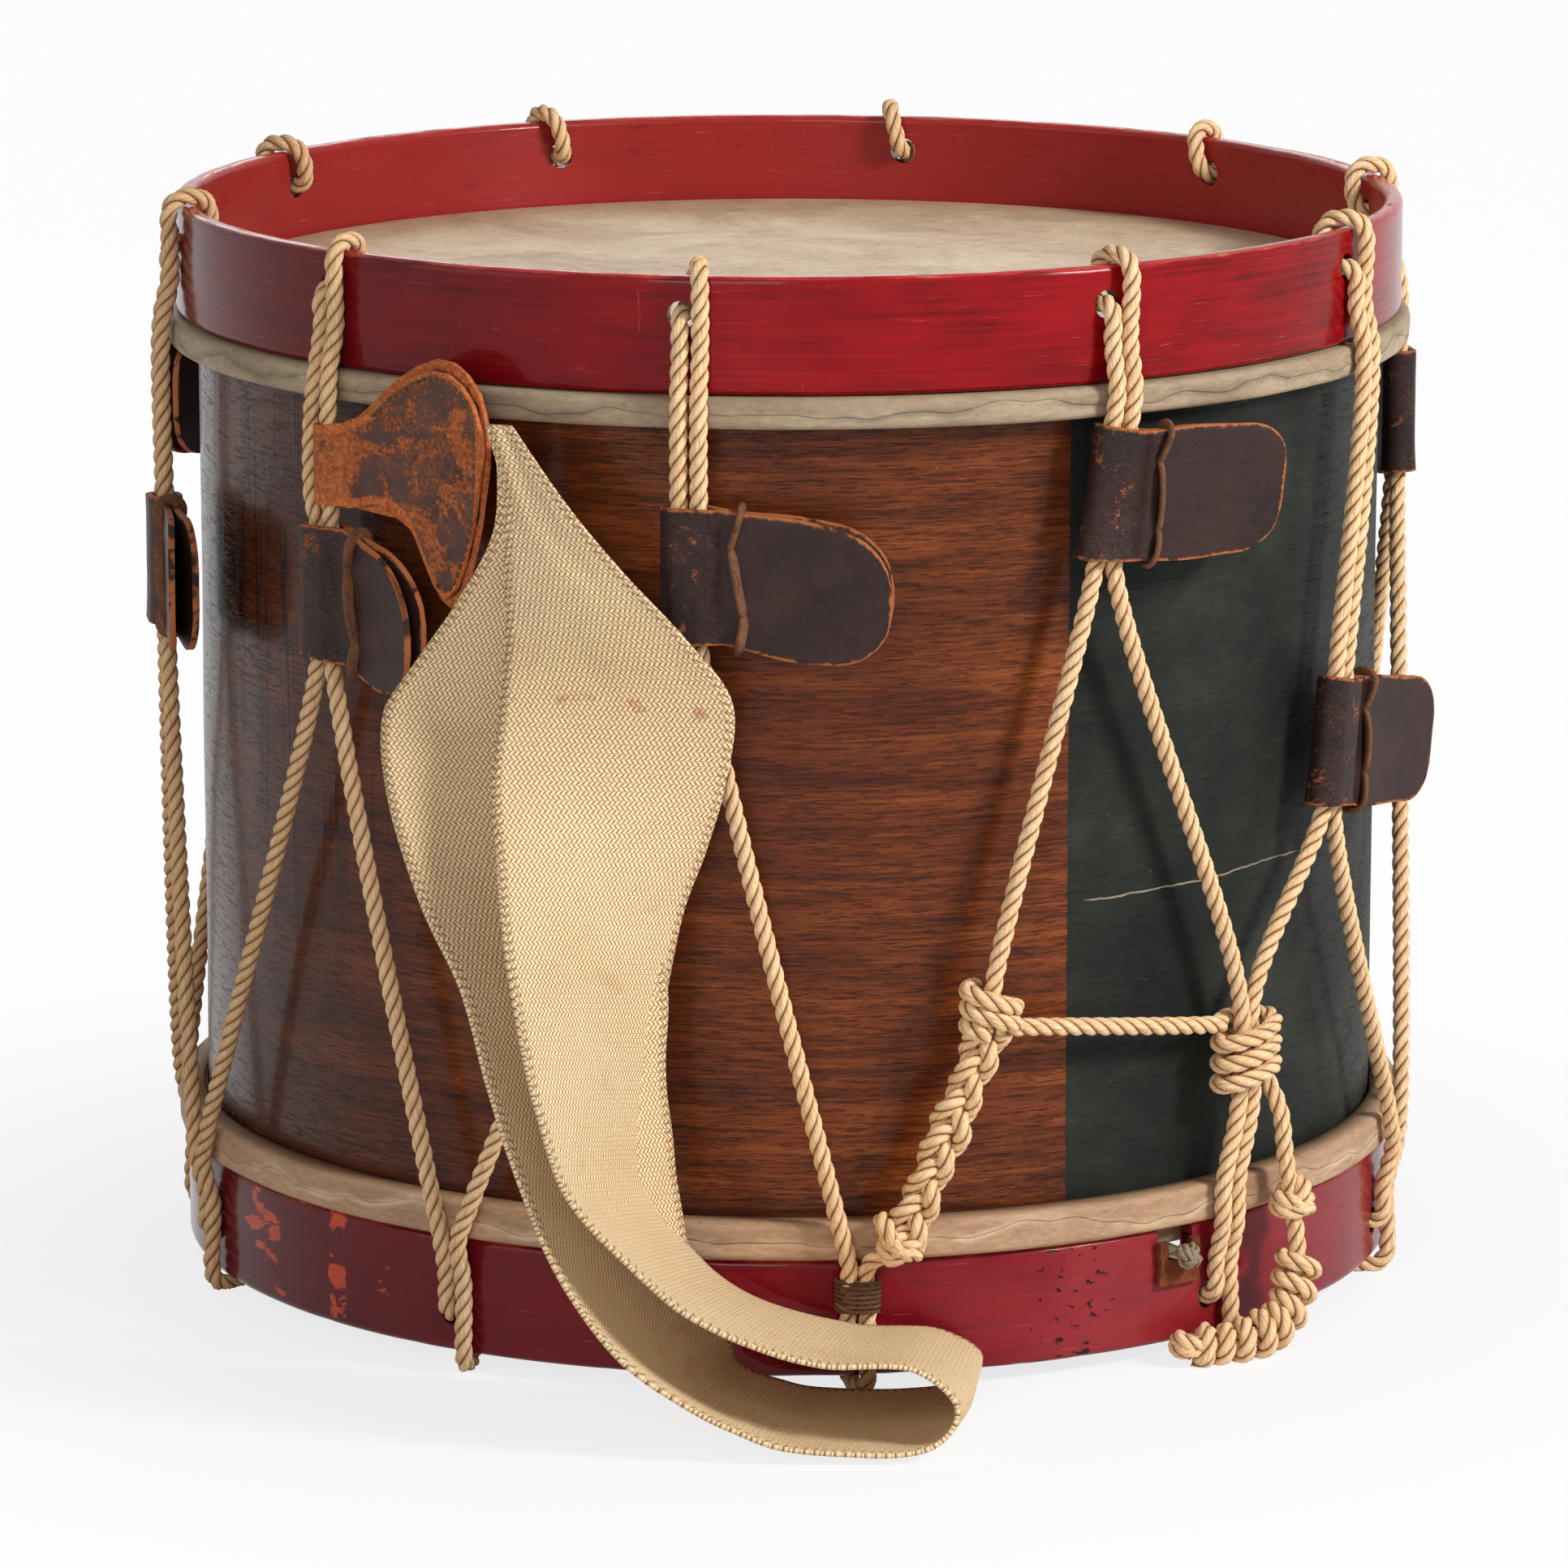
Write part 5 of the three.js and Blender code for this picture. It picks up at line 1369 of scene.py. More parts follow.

# %% [markdown]
# ## Snares
#
# Six strands of gut run under the lower head. They start at one knot outside the hoop, pass through a
# gate, turn round the hook's bar on the far side and come back. The hook can be drawn out by 5 mm.

# %% Gut
GUT_Z = SNARE_Z - 0.9 * MM
FACE_Y = HOOP_OUT + GAP
GUT = 1.2 * MM
STRAND_STEP = 2 * MM
BUTT_LEATHER = 2 * MM
HOOK_BAR = 2.4 * MM
HOOK_NEAR = FACE_Y + 5.8 * MM
BAR_Y = HOOK_NEAR + HOOK_BAR / 2
snare_place = station_matrix(SNARE_AZIMUTH, 0, 0, 0)
far_place = station_matrix(SNARE_AZIMUTH + 180, 0, 0, 0)
gut_section = flat_section("gut_section", GUT, GUT, 8)
knot_y = -(FACE_Y + BUTT_LEATHER + GAP + 4.48 * MM)
wrap = math.hypot(HOOK_BAR, HOOK_BAR) / 2 + GAP + GUT / 2
strands = []
for pair in range(3):
    left = (2 * pair - 2.5) * STRAND_STEP
    right, middle = left + STRAND_STEP, left + STRAND_STEP / 2
    route = [
        (left / 2, knot_y, 0), (left, -HOOP_IN, 0), (left, 0, 0), (left, HOOP_IN, 0),
        (left, BAR_Y - wrap / 2, wrap), (left, BAR_Y + wrap / 2, wrap),
        (middle, BAR_Y + wrap, wrap / 2), (middle, BAR_Y + wrap, -wrap / 2),
        (right, BAR_Y + wrap / 2, -wrap), (right, BAR_Y - wrap / 2, -wrap),
        (right, HOOP_IN, 0), (right, 0, 0), (right, -HOOP_IN, 0), (right / 2, knot_y, 0),
    ]
    points = [snare_place @ Vector((x, y, GUT_Z + z)) for x, y, z in route]
    strands.append(swept("strand", smoothed(points, 2.0 * MM), gut_section)[0])
gut = joined("gut_strands", strands)
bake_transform(gut)
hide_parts("gut_snares")

GUT_LAY = 9 * MM
thick_gut = lobed_section("thick_gut", 1.7 * MM)
knot_middle = snare_place @ Vector((0, knot_y, GUT_Z + 0.5 * MM))
gut_turns = {
    "a": turns_about(knot_middle, 3.5 * MM, 2.6, 1.1, 0.2, 0.3, SNARE_AZIMUTH, 0.8),
    "b": turns_about(knot_middle, 3.1 * MM, 1.4, -0.9, -1.3, 2.0, SNARE_AZIMUTH, 0.9),
}
gut_knot = joined("gut_knot", [
    swept(name, smoothed(route, 0.8 * MM), thick_gut, GUT_LAY)[0] for name, route in gut_turns.items()])
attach(gut_knot, "drum")
print("gut faces:", len(gut.data.polygons), "at height", round(GUT_Z, 4))

# %% [markdown]
# Under the knot lies a scrap of red-brown leather, open at the top where the strands pass. It starts as a
# plate. Its faces are divided, noise makes them ragged, and the slot is cut away.

# %% Butt leather
bm = bmesh.new()
low, high = GUT_Z - 10 * MM, GUT_Z + 5 * MM
plate = box_matrix((0, -FACE_Y - BUTT_LEATHER / 2, (low + high) / 2), (17 * MM, BUTT_LEATHER, high - low))
bmesh.ops.create_cube(bm, size=1, matrix=plate)
bmesh.ops.subdivide_edges(bm, edges=bm.edges, cuts=8, use_grid_fill=True)
for vert in bm.verts:
    vert.co.x *= 1 + 0.14 * noise.noise(Vector((vert.co.x * 300, 0, vert.co.z * 300)))
    vert.co.z += 0.7 * MM * noise.noise(Vector((vert.co.x * 420, 3, 0)))
    vert.co.y -= 0.35 * MM * (1 + noise.noise(vert.co * 180))
bmesh.ops.transform(bm, matrix=snare_place, verts=bm.verts)
butt = mesh_object("snare_butt_made", bm)
slot = bmesh.new()
opening = box_matrix((0, -FACE_Y, GUT_Z + 8.8 * MM), (10 * MM, 12 * MM, 20 * MM))
bmesh.ops.create_cube(slot, size=1, matrix=snare_place @ opening)
cut_by(butt, slot)
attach(butt, "drum")
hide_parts("snare_butt")
print("butt faces:", len(butt.data.polygons))

# %% [markdown]
# ## Snare strainer
#
# On the far side a brass strap stands off the hoop. A hook with a threaded shank passes through it, and a
# nut with two wings draws the hook outwards. The strap is one line extruded upwards, bevelled at its bends
# and given its thickness. The hook's stirrup is a plate with its middle taken out.

# %% Strap, hook and nut
STRAP = 2.5 * MM
STAND_OFF = 24 * MM
HALF_SPAN = 11.5 * MM
FOOT_X = 21.5 * MM
STRAP_HIGH = 12 * MM
ROD_HOLE = 2.3 * MM
ROD = 1.95 * MM
NUT_HOLE = 2.35 * MM
WING_X = 8.4 * MM


def raised_by(bm, extruded, height):
    corners = [v for v in extruded["geom"] if isinstance(v, bmesh.types.BMVert)]
    bmesh.ops.translate(bm, vec=(0, 0, height), verts=corners)


legs_x, foot_y, back_y = HALF_SPAN - STRAP / 2, -FACE_Y - STRAP / 2, -FACE_Y - STAND_OFF + STRAP / 2
strap_line = [
    (-FOOT_X, foot_y), (-legs_x, foot_y), (-legs_x, back_y),
    (legs_x, back_y), (legs_x, foot_y), (FOOT_X, foot_y),
]
bm = bmesh.new()
line = [bm.verts.new((x, y, GUT_Z - STRAP_HIGH / 2)) for x, y in strap_line]
edges = [bm.edges.new(pair) for pair in zip(line, line[1:])]
raised_by(bm, bmesh.ops.extrude_edge_only(bm, edges=edges), STRAP_HIGH)
bends = [e for e in bm.edges if len(e.link_faces) == 2]
bevelled(bm, bends, 2.2 * MM, segments=4)
bmesh.ops.recalc_face_normals(bm, faces=bm.faces)
bmesh.ops.transform(bm, matrix=far_place, verts=bm.verts)
bridge = mesh_object("strainer_strap", bm)
thickened(bridge, STRAP, edge=0.4 * MM)
hole = bmesh.new()
round_bar(hole, far_place @ Matrix.Translation((0, -FACE_Y - STAND_OFF, GUT_Z)), ROD_HOLE, 20 * MM)
cut_by(bridge, hole)
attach(bridge, "drum")
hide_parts("strainer_bridge")

depth = 2 * HOOK_BAR + 4.2 * MM
stirrup = Vector((0, -HOOK_NEAR - depth / 2, GUT_Z))
bm = bmesh.new()
stirrup_size = box_matrix(stirrup, (17 * MM, depth, 1))
bmesh.ops.create_grid(bm, x_segments=1, y_segments=1, size=0.5, matrix=stirrup_size)
bmesh.ops.inset_region(bm, faces=bm.faces[:], thickness=2.3 * MM, use_even_offset=True)
middle_face = min(bm.faces, key=lambda face: (face.calc_center_median() - stirrup).length)
bmesh.ops.delete(bm, geom=[middle_face], context="FACES")
raised_by(bm, bmesh.ops.extrude_face_region(bm, geom=bm.faces[:]), HOOK_BAR)
bmesh.ops.translate(bm, vec=(0, 0, -HOOK_BAR / 2), verts=bm.verts)
bmesh.ops.recalc_face_normals(bm, faces=bm.faces)
sharp = [e for e in bm.edges if len(e.link_faces) == 2 and e.calc_face_angle(0) > math.radians(30)]
bevelled(bm, sharp, 0.6 * MM)
rod_near, rod_far = -HOOK_NEAR - depth + HOOK_BAR / 2, -FACE_Y - STAND_OFF - 19 * MM
round_bar(bm, Matrix.Translation((0, (rod_near + rod_far) / 2, GUT_Z)), ROD, rod_near - rod_far)
bmesh.ops.transform(bm, matrix=far_place, verts=bm.verts)
hook = mesh_object("strainer_hook_made", bm)
hook.data.set_sharp_from_angle(angle=math.radians(40))
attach(hook, "hook")
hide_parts("strainer_hook")

nut_near = -FACE_Y - STAND_OFF - GAP
bm = bmesh.new()
outside = [(5, 0), (5, -1.2), (4.3, -2), (4.3, -5.6), (4.6, -6.4), (4.2, -7)]
profile = [(NUT_HOLE / MM, 0), *outside, (NUT_HOLE / MM, -7)]
ring = [bm.verts.new((radius * MM, nut_near + y * MM, GUT_Z)) for radius, y in profile]
edges = [bm.edges.new(pair) for pair in zip(ring, ring[1:] + ring[:1])]
bmesh.ops.spin(
    bm, geom=ring + edges, cent=(0, nut_near, GUT_Z), axis=(0, 1, 0), angle=2 * math.pi, steps=36,
    use_merge=True)
bmesh.ops.remove_doubles(bm, verts=bm.verts, dist=MERGE)
for side in (-1, 1):
    plate = box_matrix((side * WING_X, nut_near - 3.5 * MM, GUT_Z), (9.2 * MM, 6.6 * MM, 2.3 * MM))
    wing = bmesh.ops.create_cube(bm, size=1, matrix=plate)["verts"]
    for vert in wing:
        if abs(vert.co.x) > WING_X:
            vert.co.y += (vert.co.y - (nut_near - 3.5 * MM)) * -0.22
    lines = list({e for v in wing for e in v.link_edges})
    bevelled(bm, lines, 0.9 * MM)
bmesh.ops.recalc_face_normals(bm, faces=bm.faces)
bmesh.ops.transform(bm, matrix=far_place, verts=bm.verts)
nut = mesh_object("strainer_nut_made", bm)
nut.data.set_sharp_from_angle(angle=math.radians(40))
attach(nut, "nut")
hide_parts("strainer_nut")
print("strainer faces:", [len(p.data.polygons) for p in (bridge, hook, nut)])

# %% [markdown]
# ## Finishes
#
# Colours are written as they look on the real thing, in the usual 0 to 255, and turned into Blender's
# linear values by one function. Every layer of a finish is a colour laid over the one below it. Round
# pieces read their patterns in places round the drum: how far round from the front, how far from the axis,
# and how high. The wood's grain and the paint's brush lines run along the first of those.

# %% Colours and round places
def paint(red, green, blue):
    linear = lambda v: v / 12.92 if v <= 0.04045 else ((v + 0.055) / 1.055) ** 2.4
    return tuple(linear(v / 255) for v in (red, green, blue))


def over(colour, share, red, green, blue):
    """A colour with a share of another laid over it."""
    return blend(share, colour, paint(red, green, blue))


def shades(value, *stops):
    """A ramp whose stops are (place, red, green, blue)."""
    return ramp(value, *((at, paint(*colour)) for at, *colour in stops))


def part(place, index):
    return place.node("SeparateXYZ", None, {"Vector": place}, index)


def together(wire, x, y, z):
    return wire.node("CombineXYZ", None, {0: x, 1: y, 2: z})


SEAM_TURN = math.radians(83)


def round_drum(wire):
    """The angle from the front, which jumps at -97 degrees, the place (round, out, up), and the height."""
    place = object_place(wire)
    x = part(place, 0) - axis.x
    forward = axis.y - part(place, 1)
    turned_x = x * math.cos(SEAM_TURN) - forward * math.sin(SEAM_TURN)
    turned_forward = forward * math.cos(SEAM_TURN) + x * math.sin(SEAM_TURN)
    angle = turned_x.of("ARCTAN2", turned_forward) + SEAM_TURN
    out = (x * x + forward * forward) ** 0.5
    height = part(place, 2)
    return angle, together(wire, angle * SHELL, out, height), height


def on_map(wire):
    return wire.node("UVMap", {"uv_map": "UVMap"})


def edge_distance(wire):
    return wire.node("Attribute", {"attribute_name": "from_edge"}, None, "Fac")


# %% [markdown]
# The shell is coarse, open-pored wood bent round with its grain. Three noises make it: wide bands of
# lighter and darker wood, fine streaks, and short dark pores drawn out along the grain. The varnish is
# thick and brown with age, has run down in dark streaks on the left, and has a soft gloss. The left side
# is darkened further, partly by darker varnish and partly as painted shade away from the lamp, and a band
# near the lower edge is painted darker as shade. The right front carries a panel of black-green paint,
# dull, scratched and rubbed, with a thin crack through it.

# %% Shell finish
PANEL = (math.radians(26.6), math.radians(112))
CRACK_Z = 0.1584
CRACK_ANGLE = 0.502
CRACK_RISE = 0.0054


def lap_joint(angle, width_mm):
    """A dark line where the bent wood's ends meet, at the place where the angle jumps."""
    width = width_mm * MM / SHELL
    return step(size_of(angle - SEAM_TURN), math.pi - width, math.pi - 0.3 * width)


def shell_recipe(wire):
    angle, place, height = round_drum(wire)
    bands = grain(place, 9, 4, 0.6, 0.6, stretch=(14, 4, 1))
    streaks = grain(place, 1.1, 5, 0.65, 0.3, stretch=(22, 4, 1))
    long_pores = grain(place, 0.7, 3, 0.6, 0.4, stretch=(13, 4, 1))
    short_pores = grain(place, 0.55, 2, 0.5, stretch=(8, 4, 1))
    pore = step(long_pores, 0.56, 0.62) * 0.9 + step(short_pores, 0.6, 0.66) * 0.5
    pore = pore.of("MINIMUM", 1.0)
    tone = bands * 0.5 + streaks * 0.5
    wood = shades(tone, (0.32, 56, 23, 8), (0.45, 92, 41, 15), (0.56, 126, 61, 24), (0.72, 158, 86, 40))
    wood = over(wood, pore * 0.7, 34, 14, 8)
    age = grain(place, 90, 2, stretch=(1, 1, 1.4))
    wood = over(wood, step(age, 0.4, 0.75) * 0.5, 66, 24, 14)
    runs = grain(place, 5, 4, 0.55, 0.4, stretch=(1, 1, 26))
    # Partly darker varnish, partly painted shade: the wood darkens towards the left, away from the lamp.
    left = step(angle, -0.45, -1.0)
    wood = over(wood, left * 0.6, 42, 18, 11)
    run = step(runs, 0.52, 0.6) * left * step(height, 0.10, 0.2)
    wood = over(wood, run * 0.7, 30, 14, 11)
    nicks = step(grain(place, 7, 3, 0.6, 0.5, stretch=(1.6, 1, 1)), 0.76, 0.79)
    wood = over(wood, nicks * 0.6, 206, 120, 70)
    low_shade = step(height, SHELL_LOW + 0.035, SHELL_LOW + 0.006)
    wood = over(wood, low_shade * 0.5, 38, 18, 14)

    ragged = (grain(place, 6, 4) - 0.5) * 0.006
    panel = step(angle + ragged, PANEL[0] - 0.0015, PANEL[0] + 0.0015)
    panel = panel * step(angle, PANEL[1] + 0.01, PANEL[1])
    cloud = grain(place, 40, 4, 0.6, stretch=(1.3, 1, 1))
    black = shades(cloud, (0.3, 18, 20, 17), (0.55, 34, 37, 32), (0.8, 58, 60, 52))
    rubs = grain(place, 1.8, 5, 0.7, 0.8, stretch=(7, 3, 1))
    black = over(black, step(rubs, 0.58, 0.75) * 0.25, 78, 80, 70)
    flecks = step(grain(place, 1.6, 2), 0.74, 0.78)
    black = over(black, flecks * 0.5, 150, 140, 120)
    chips = step(grain(place, 13, 4, 0.6, 0.5, stretch=(1.2, 1, 1)), 0.735, 0.755)
    black = over(black, chips * 0.8, 96, 50, 36)
    wander = (grain(place, 18, 3) - 0.5) * 0.004
    off_crack = height + wander - CRACK_Z - (angle - CRACK_ANGLE) * CRACK_RISE
    crack = step(size_of(off_crack), 0.00045, 0.00012)
    crack = crack * step(angle, 0.49, 0.52) * step(angle, 1.02, 0.95)
    black = over(black, crack * 0.8, 168, 150, 128)
    colour = blend(panel, wood, black)
    colour = over(colour, lap_joint(angle, 1.2), 22, 11, 9)
    roughness = 0.2 + bands * 0.12 + pore * 0.2 + panel * (0.18 + rubs * 0.25)
    ridges = streaks * 0.5 - pore * 0.8 + grain(place, 26, 2, stretch=(1, 1, 1.5)) * 0.8
    height_map = ridges * (1 - panel * 0.5) + panel * rubs * 0.6 - crack * 0.8 + run * 0.5
    coat = 0.08 * (1 - panel) + 0.03
    return {"colour": colour, "roughness": roughness, "height": height_map, "coat": coat}


wear(shell, finish("shell_varnish", shell_recipe, bump_mm=0.24, specular=0.14, coat_roughness=0.07))
print("panel from", round(math.degrees(PANEL[0]), 1), "degrees")

# %% [markdown]
# The hoops' red paint was brushed on along the hoop and has been rubbed ever since. The rims have worn
# through to pale wood where hands and ropes touch them, and the rubbed orange-red line along them is partly
# wear and partly a painted highlight on the rounded edges. The inside wall of both hoops is given a lighter,
# browner red, and the lower hoop has bare orange patches on the left and dark pits on the right. The red
# turns maroon towards the left, partly as painted shade away from the lamp, and the walls of the rope holes
# are painted near black as shade.

# %% Hoop finish
def hoop_recipe(low, high, is_top):
    def recipe(wire):
        angle, place, height = round_drum(wire)
        radius = part(place, 1)
        brush = grain(place, 1.1, 4, 0.65, stretch=(55, 2, 1))
        cloud = grain(place, 22, 4, 0.6, stretch=(2.2, 1, 1))
        red = shades(cloud * 0.55 + brush * 0.45, (0.32, 84, 4, 10), (0.5, 134, 6, 14), (0.72, 160, 14, 20))
        if not is_top:
            red = over(red, cloud * 0.8, 104, 24, 38)
        # Partly painted shade: the red darkens to maroon towards the left, away from the lamp.
        left = step(angle, 0.05, -0.95)
        red = over(red, left * 0.6, 70, 16, 20)
        inside = step(radius, HOOP_IN + 0.0012, HOOP_IN + 0.0004)
        red = over(red, inside * 0.7, 156, 46, 42)
        rim = step(height, high - 0.0022, high - 0.0003) + step(height, low + 0.002, low + 0.0003) * 0.5
        worn = grain(place, 3.2, 5, 0.7, stretch=(5, 1, 1))
        rubbed = step(rim * 0.5 + worn, 0.82, 1.0)
        bare = step(rim * 0.32 + worn, 0.88, 0.97)
        bare_wood = shades(brush, (0.3, 120, 70, 50), (0.7, 190, 140, 104))
        scratch = step(grain(place, 0.6, 2, 0.5, 0.3, stretch=(24, 3, 1)), 0.69, 0.74)
        scratch = scratch + step(grain(place, 0.8, 2, 0.5, 1.0, stretch=(1.2, 2, 14)), 0.74, 0.78) * 0.7
        colour = over(red, scratch * 0.3, 204, 110, 100)
        if not is_top:
            patchy = grain(place, 14, 5, 0.65, 0.4, stretch=(1.8, 1, 1))
            near = step(size_of(angle + 0.99), 0.09, 0.03) + step(size_of(angle + 0.80), 0.035, 0.015)
            patch = step(patchy + near * 0.15, 0.66, 0.7) * step(angle, -0.5, -0.75)
            colour = over(colour, patch * 0.9, 206, 78, 44)
            bloom = grain(place, 60, 3, stretch=(1.2, 1, 1))
            colour = over(colour, step(bloom, 0.35, 0.65) * step(angle, 0.1, 0.5) * 0.35, 170, 66, 70)
            near = step(size_of(angle - 0.45), 0.12, 0.04)
            pits = step(grain(place, 3.2, 3, 0.6, stretch=(1.5, 1, 1)) + near * 0.09, 0.7, 0.73)
            colour = over(colour, pits * (near * 0.85 + 0.15), 44, 12, 14)
        dirt = step(grain(place, 7, 5, 0.65, stretch=(2.5, 1, 1)), 0.58, 0.78)
        colour = over(colour, dirt * 0.4, 58, 12, 14)
        # Partly wear, partly painted highlight: an orange-red line rubbed along the rounded rims.
        colour = over(colour, rubbed * 0.55, 206, 66, 50)
        colour = blend(bare * 0.8, colour, bare_wood)
        away_from_rims = step(height, low + 0.0034, low + 0.004) * step(height, high - 0.0034, high - 0.004)
        # Painted shade: the walls of the rope holes are darkened to near black.
        hole_shade = step(radius, HOOP_IN + 0.0008, HOOP_IN + 0.0013)
        hole_shade = hole_shade * step(radius, HOOP_OUT - 0.0008, HOOP_OUT - 0.0013)
        colour = over(colour, hole_shade * away_from_rims * 0.9, 26, 10, 8)
        colour = over(colour, lap_joint(angle, 0.9), 40, 12, 12)
        roughness = 0.12 + cloud * 0.1 + bare * 0.4 + dirt * 0.15 + inside * 0.15
        height_map = brush * 0.8 - scratch * 0.25 - bare * 0.4 + cloud * 0.9
        return {"colour": colour, "roughness": roughness, "height": height_map, "coat": 0.2 * (1 - bare)}

    return recipe


top_paint, bottom_paint = hoop_recipe(TOP_HOOP_LOW, RIM_Z, True), hoop_recipe(STAND, BOTTOM_HOOP_HIGH, False)
for hoop, name, paint_recipe in (
        (top_hoop, "top_hoop_paint", top_paint), (bottom_hoop, "bottom_hoop_paint", bottom_paint)):
    wear(hoop, finish(name, paint_recipe, bump_mm=0.22, specular=0.08, coat_roughness=0.05))
print("hoop finishes made")

# %% [markdown]
# Skin is cream on the playing surface, cloudy and slightly veined. Where it is lapped over its flesh hoop it
# is stretched, dirty and browner, and the tucked edge shows as a wavy line round the hoop. On the batter
# head that line is darker, partly as painted shadow of the tuck; on the snare head it is pale. The two heads
# differ only in how brown their laps have become, and in that line.

# %% Skin finish
def skin_recipe(low, high, lap_dark, lap_light, wave_mm, line_colour):
    def recipe(wire):
        angle, place, height = round_drum(wire)
        flat = object_place(wire)
        radius = part(place, 1)
        cloud = grain(flat, 48, 5, 0.65, 0.6)
        vein = grain(flat, 8, 5, 0.7, 1.5)
        tone = cloud * 0.65 + vein * 0.35
        head = shades(tone, (0.34, 160, 130, 98), (0.5, 204, 178, 144), (0.66, 228, 208, 178))
        specks = step(grain(flat, 2.4, 2), 0.73, 0.78)
        head = over(head, specks * 0.4, 140, 104, 76)
        soiled = step(radius, 0.16, 0.2)
        head = over(head, soiled * 0.4, 150, 118, 90)
        lapped = step(radius, SHELL + 0.0008, SHELL + 0.002)
        dirt = grain(place, 12, 5, 0.65, stretch=(3, 1, 1))
        fine = grain(place, 1.3, 4, 0.65, stretch=(3, 1, 1))
        lap = ramp(dirt * 0.6 + fine * 0.4, (0.32, lap_dark), (0.66, lap_light))
        wave = grain(together(wire, angle * SHELL, 0.0, 0.0), wave_mm, 2, 0.5)
        line_at = (low + high) / 2 + (wave - 0.5) * (high - low) * 2.0
        smoke = grain(place, 9, 4, 0.6, 0.5, stretch=(3, 1, 1))
        # The tuck line; on the batter head its darker colour is partly painted shadow of the tucked edge.
        line = step(size_of(height - line_at), 0.0026, 0.0) * step(smoke, 0.4, 0.6)
        lap = blend(line * 0.6, lap, line_colour)
        above = step(height - line_at, -0.0003, 0.0003)
        lap = blend(above * 0.22, lap, lap_dark)
        stain = step(grain(place, 5, 4, 0.6, stretch=(2, 1, 1)), 0.64, 0.7)
        lap = over(lap, stain * 0.35, 96, 72, 54)
        spatter = step(grain(place, 3.1, 2, stretch=(1.6, 1, 1)), 0.75, 0.77)
        lap = over(lap, spatter * 0.6, 150, 40, 40)
        colour = blend(lapped, head, lap)
        roughness = 0.46 + cloud * 0.15 + lapped * 0.06
        height_map = vein * 0.5 * (1 - lapped) + lapped * (fine * 0.45 + above * 1.6 + dirt * 0.5)
        return {"colour": colour, "roughness": roughness, "height": height_map}

    return recipe


batter_skin = skin_recipe(*TOP_FLESH, paint(132, 112, 88), paint(186, 166, 138), 46, paint(104, 90, 76))
snare_skin = skin_recipe(*BOTTOM_FLESH, paint(146, 112, 84), paint(204, 168, 134), 52, paint(234, 208, 176))
wear(batter, finish("batter_skin", batter_skin, bump_mm=0.22, specular=0.2))
wear(snare_head, finish("snare_skin", snare_skin, bump_mm=0.22, specular=0.2))
print("skin finishes made")

# %% [markdown]
# The rope's pattern follows its own map: round the section, and along the length. The strands are darkened
# towards their grooves as painted shade, so their backs stay pale. The yarns run along the rope and not
# along the strand, which is why the pattern is turned once per lay against the section. Noise is read on a
# circle, so it has no seam. Ropes towards the drum's left are darker, partly browner rope and partly painted
# shade.

# %% Rope finish
def rope_recipe(lay, circle_mm, light, mid, dark):
    def recipe(wire):
        place = on_map(wire)
        around, along = part(place, 0), part(place, 1)
        third = around * 3
        groove_place = size_of(third.of("FRACT") - 0.5)
        # Painted shade: the rope darkens towards each groove between strands, with a thin darker line in it.
        groove = step(groove_place, 0.12, 0.0)
        groove_shade = step(groove_place, 0.4, 0.05)
        angle = (along * (1 / lay) - around) * (2 * math.pi)
        circle = circle_mm * MM
        yarn_place = together(wire, angle.of("COSINE") * circle, angle.of("SINE") * circle, along * 0.09)
        yarns = grain(yarn_place, 0.55, 3, 0.6)
        fuzz = grain(object_place(wire), 0.9, 4, 0.7)
        soil = grain(object_place(wire), 30, 4, 0.6)
        tone = yarns * 0.68 + fuzz * 0.24 + soil * 0.08
        colour = ramp(tone, (0.34, dark), (0.5, mid), (0.64, light))
        colour = blend(groove_shade * 0.45, colour, dark)
        colour = over(colour, groove * 0.85, 96, 60, 36)
        # Partly the rope's browner tone, partly painted shade: ropes towards the drum's left are darker.
        x = part(object_place(wire), 0)
        colour = over(colour, step(x, -0.09, -0.19) * 0.3, 160, 112, 70)
        grubby = step(grain(object_place(wire), 4, 4, 0.6), 0.66, 0.78)
        colour = over(colour, grubby * 0.15, 150, 106, 68)
        height_map = yarns * 0.9 + fuzz * 0.5 - groove * 1.2
        return {"colour": colour, "roughness": 0.82 + yarns * 0.14, "height": height_map}

    return recipe


fibre = rope_recipe(ROPE_LAY, 3.1, paint(255, 226, 184), paint(242, 204, 156), paint(206, 156, 108))
rope_finish = finish("rope_fibre", fibre, bump_mm=0.35, specular=0.06)
for piece in rope_pieces:
    wear(piece, rope_finish)
fibre = rope_recipe(TWINE_LAY, 0.8, paint(132, 96, 66), paint(104, 72, 50), paint(70, 46, 34))
wear(seizing, finish("twine_fibre", fibre, bump_mm=0.12, specular=0.25))
fibre = rope_recipe(GUT_LAY, 1.8, paint(176, 158, 132), paint(142, 122, 98), paint(96, 80, 64))
wear(gut_knot, finish("knotted_gut", fibre, bump_mm=0.1))
print("rope pieces:", len(rope_pieces))
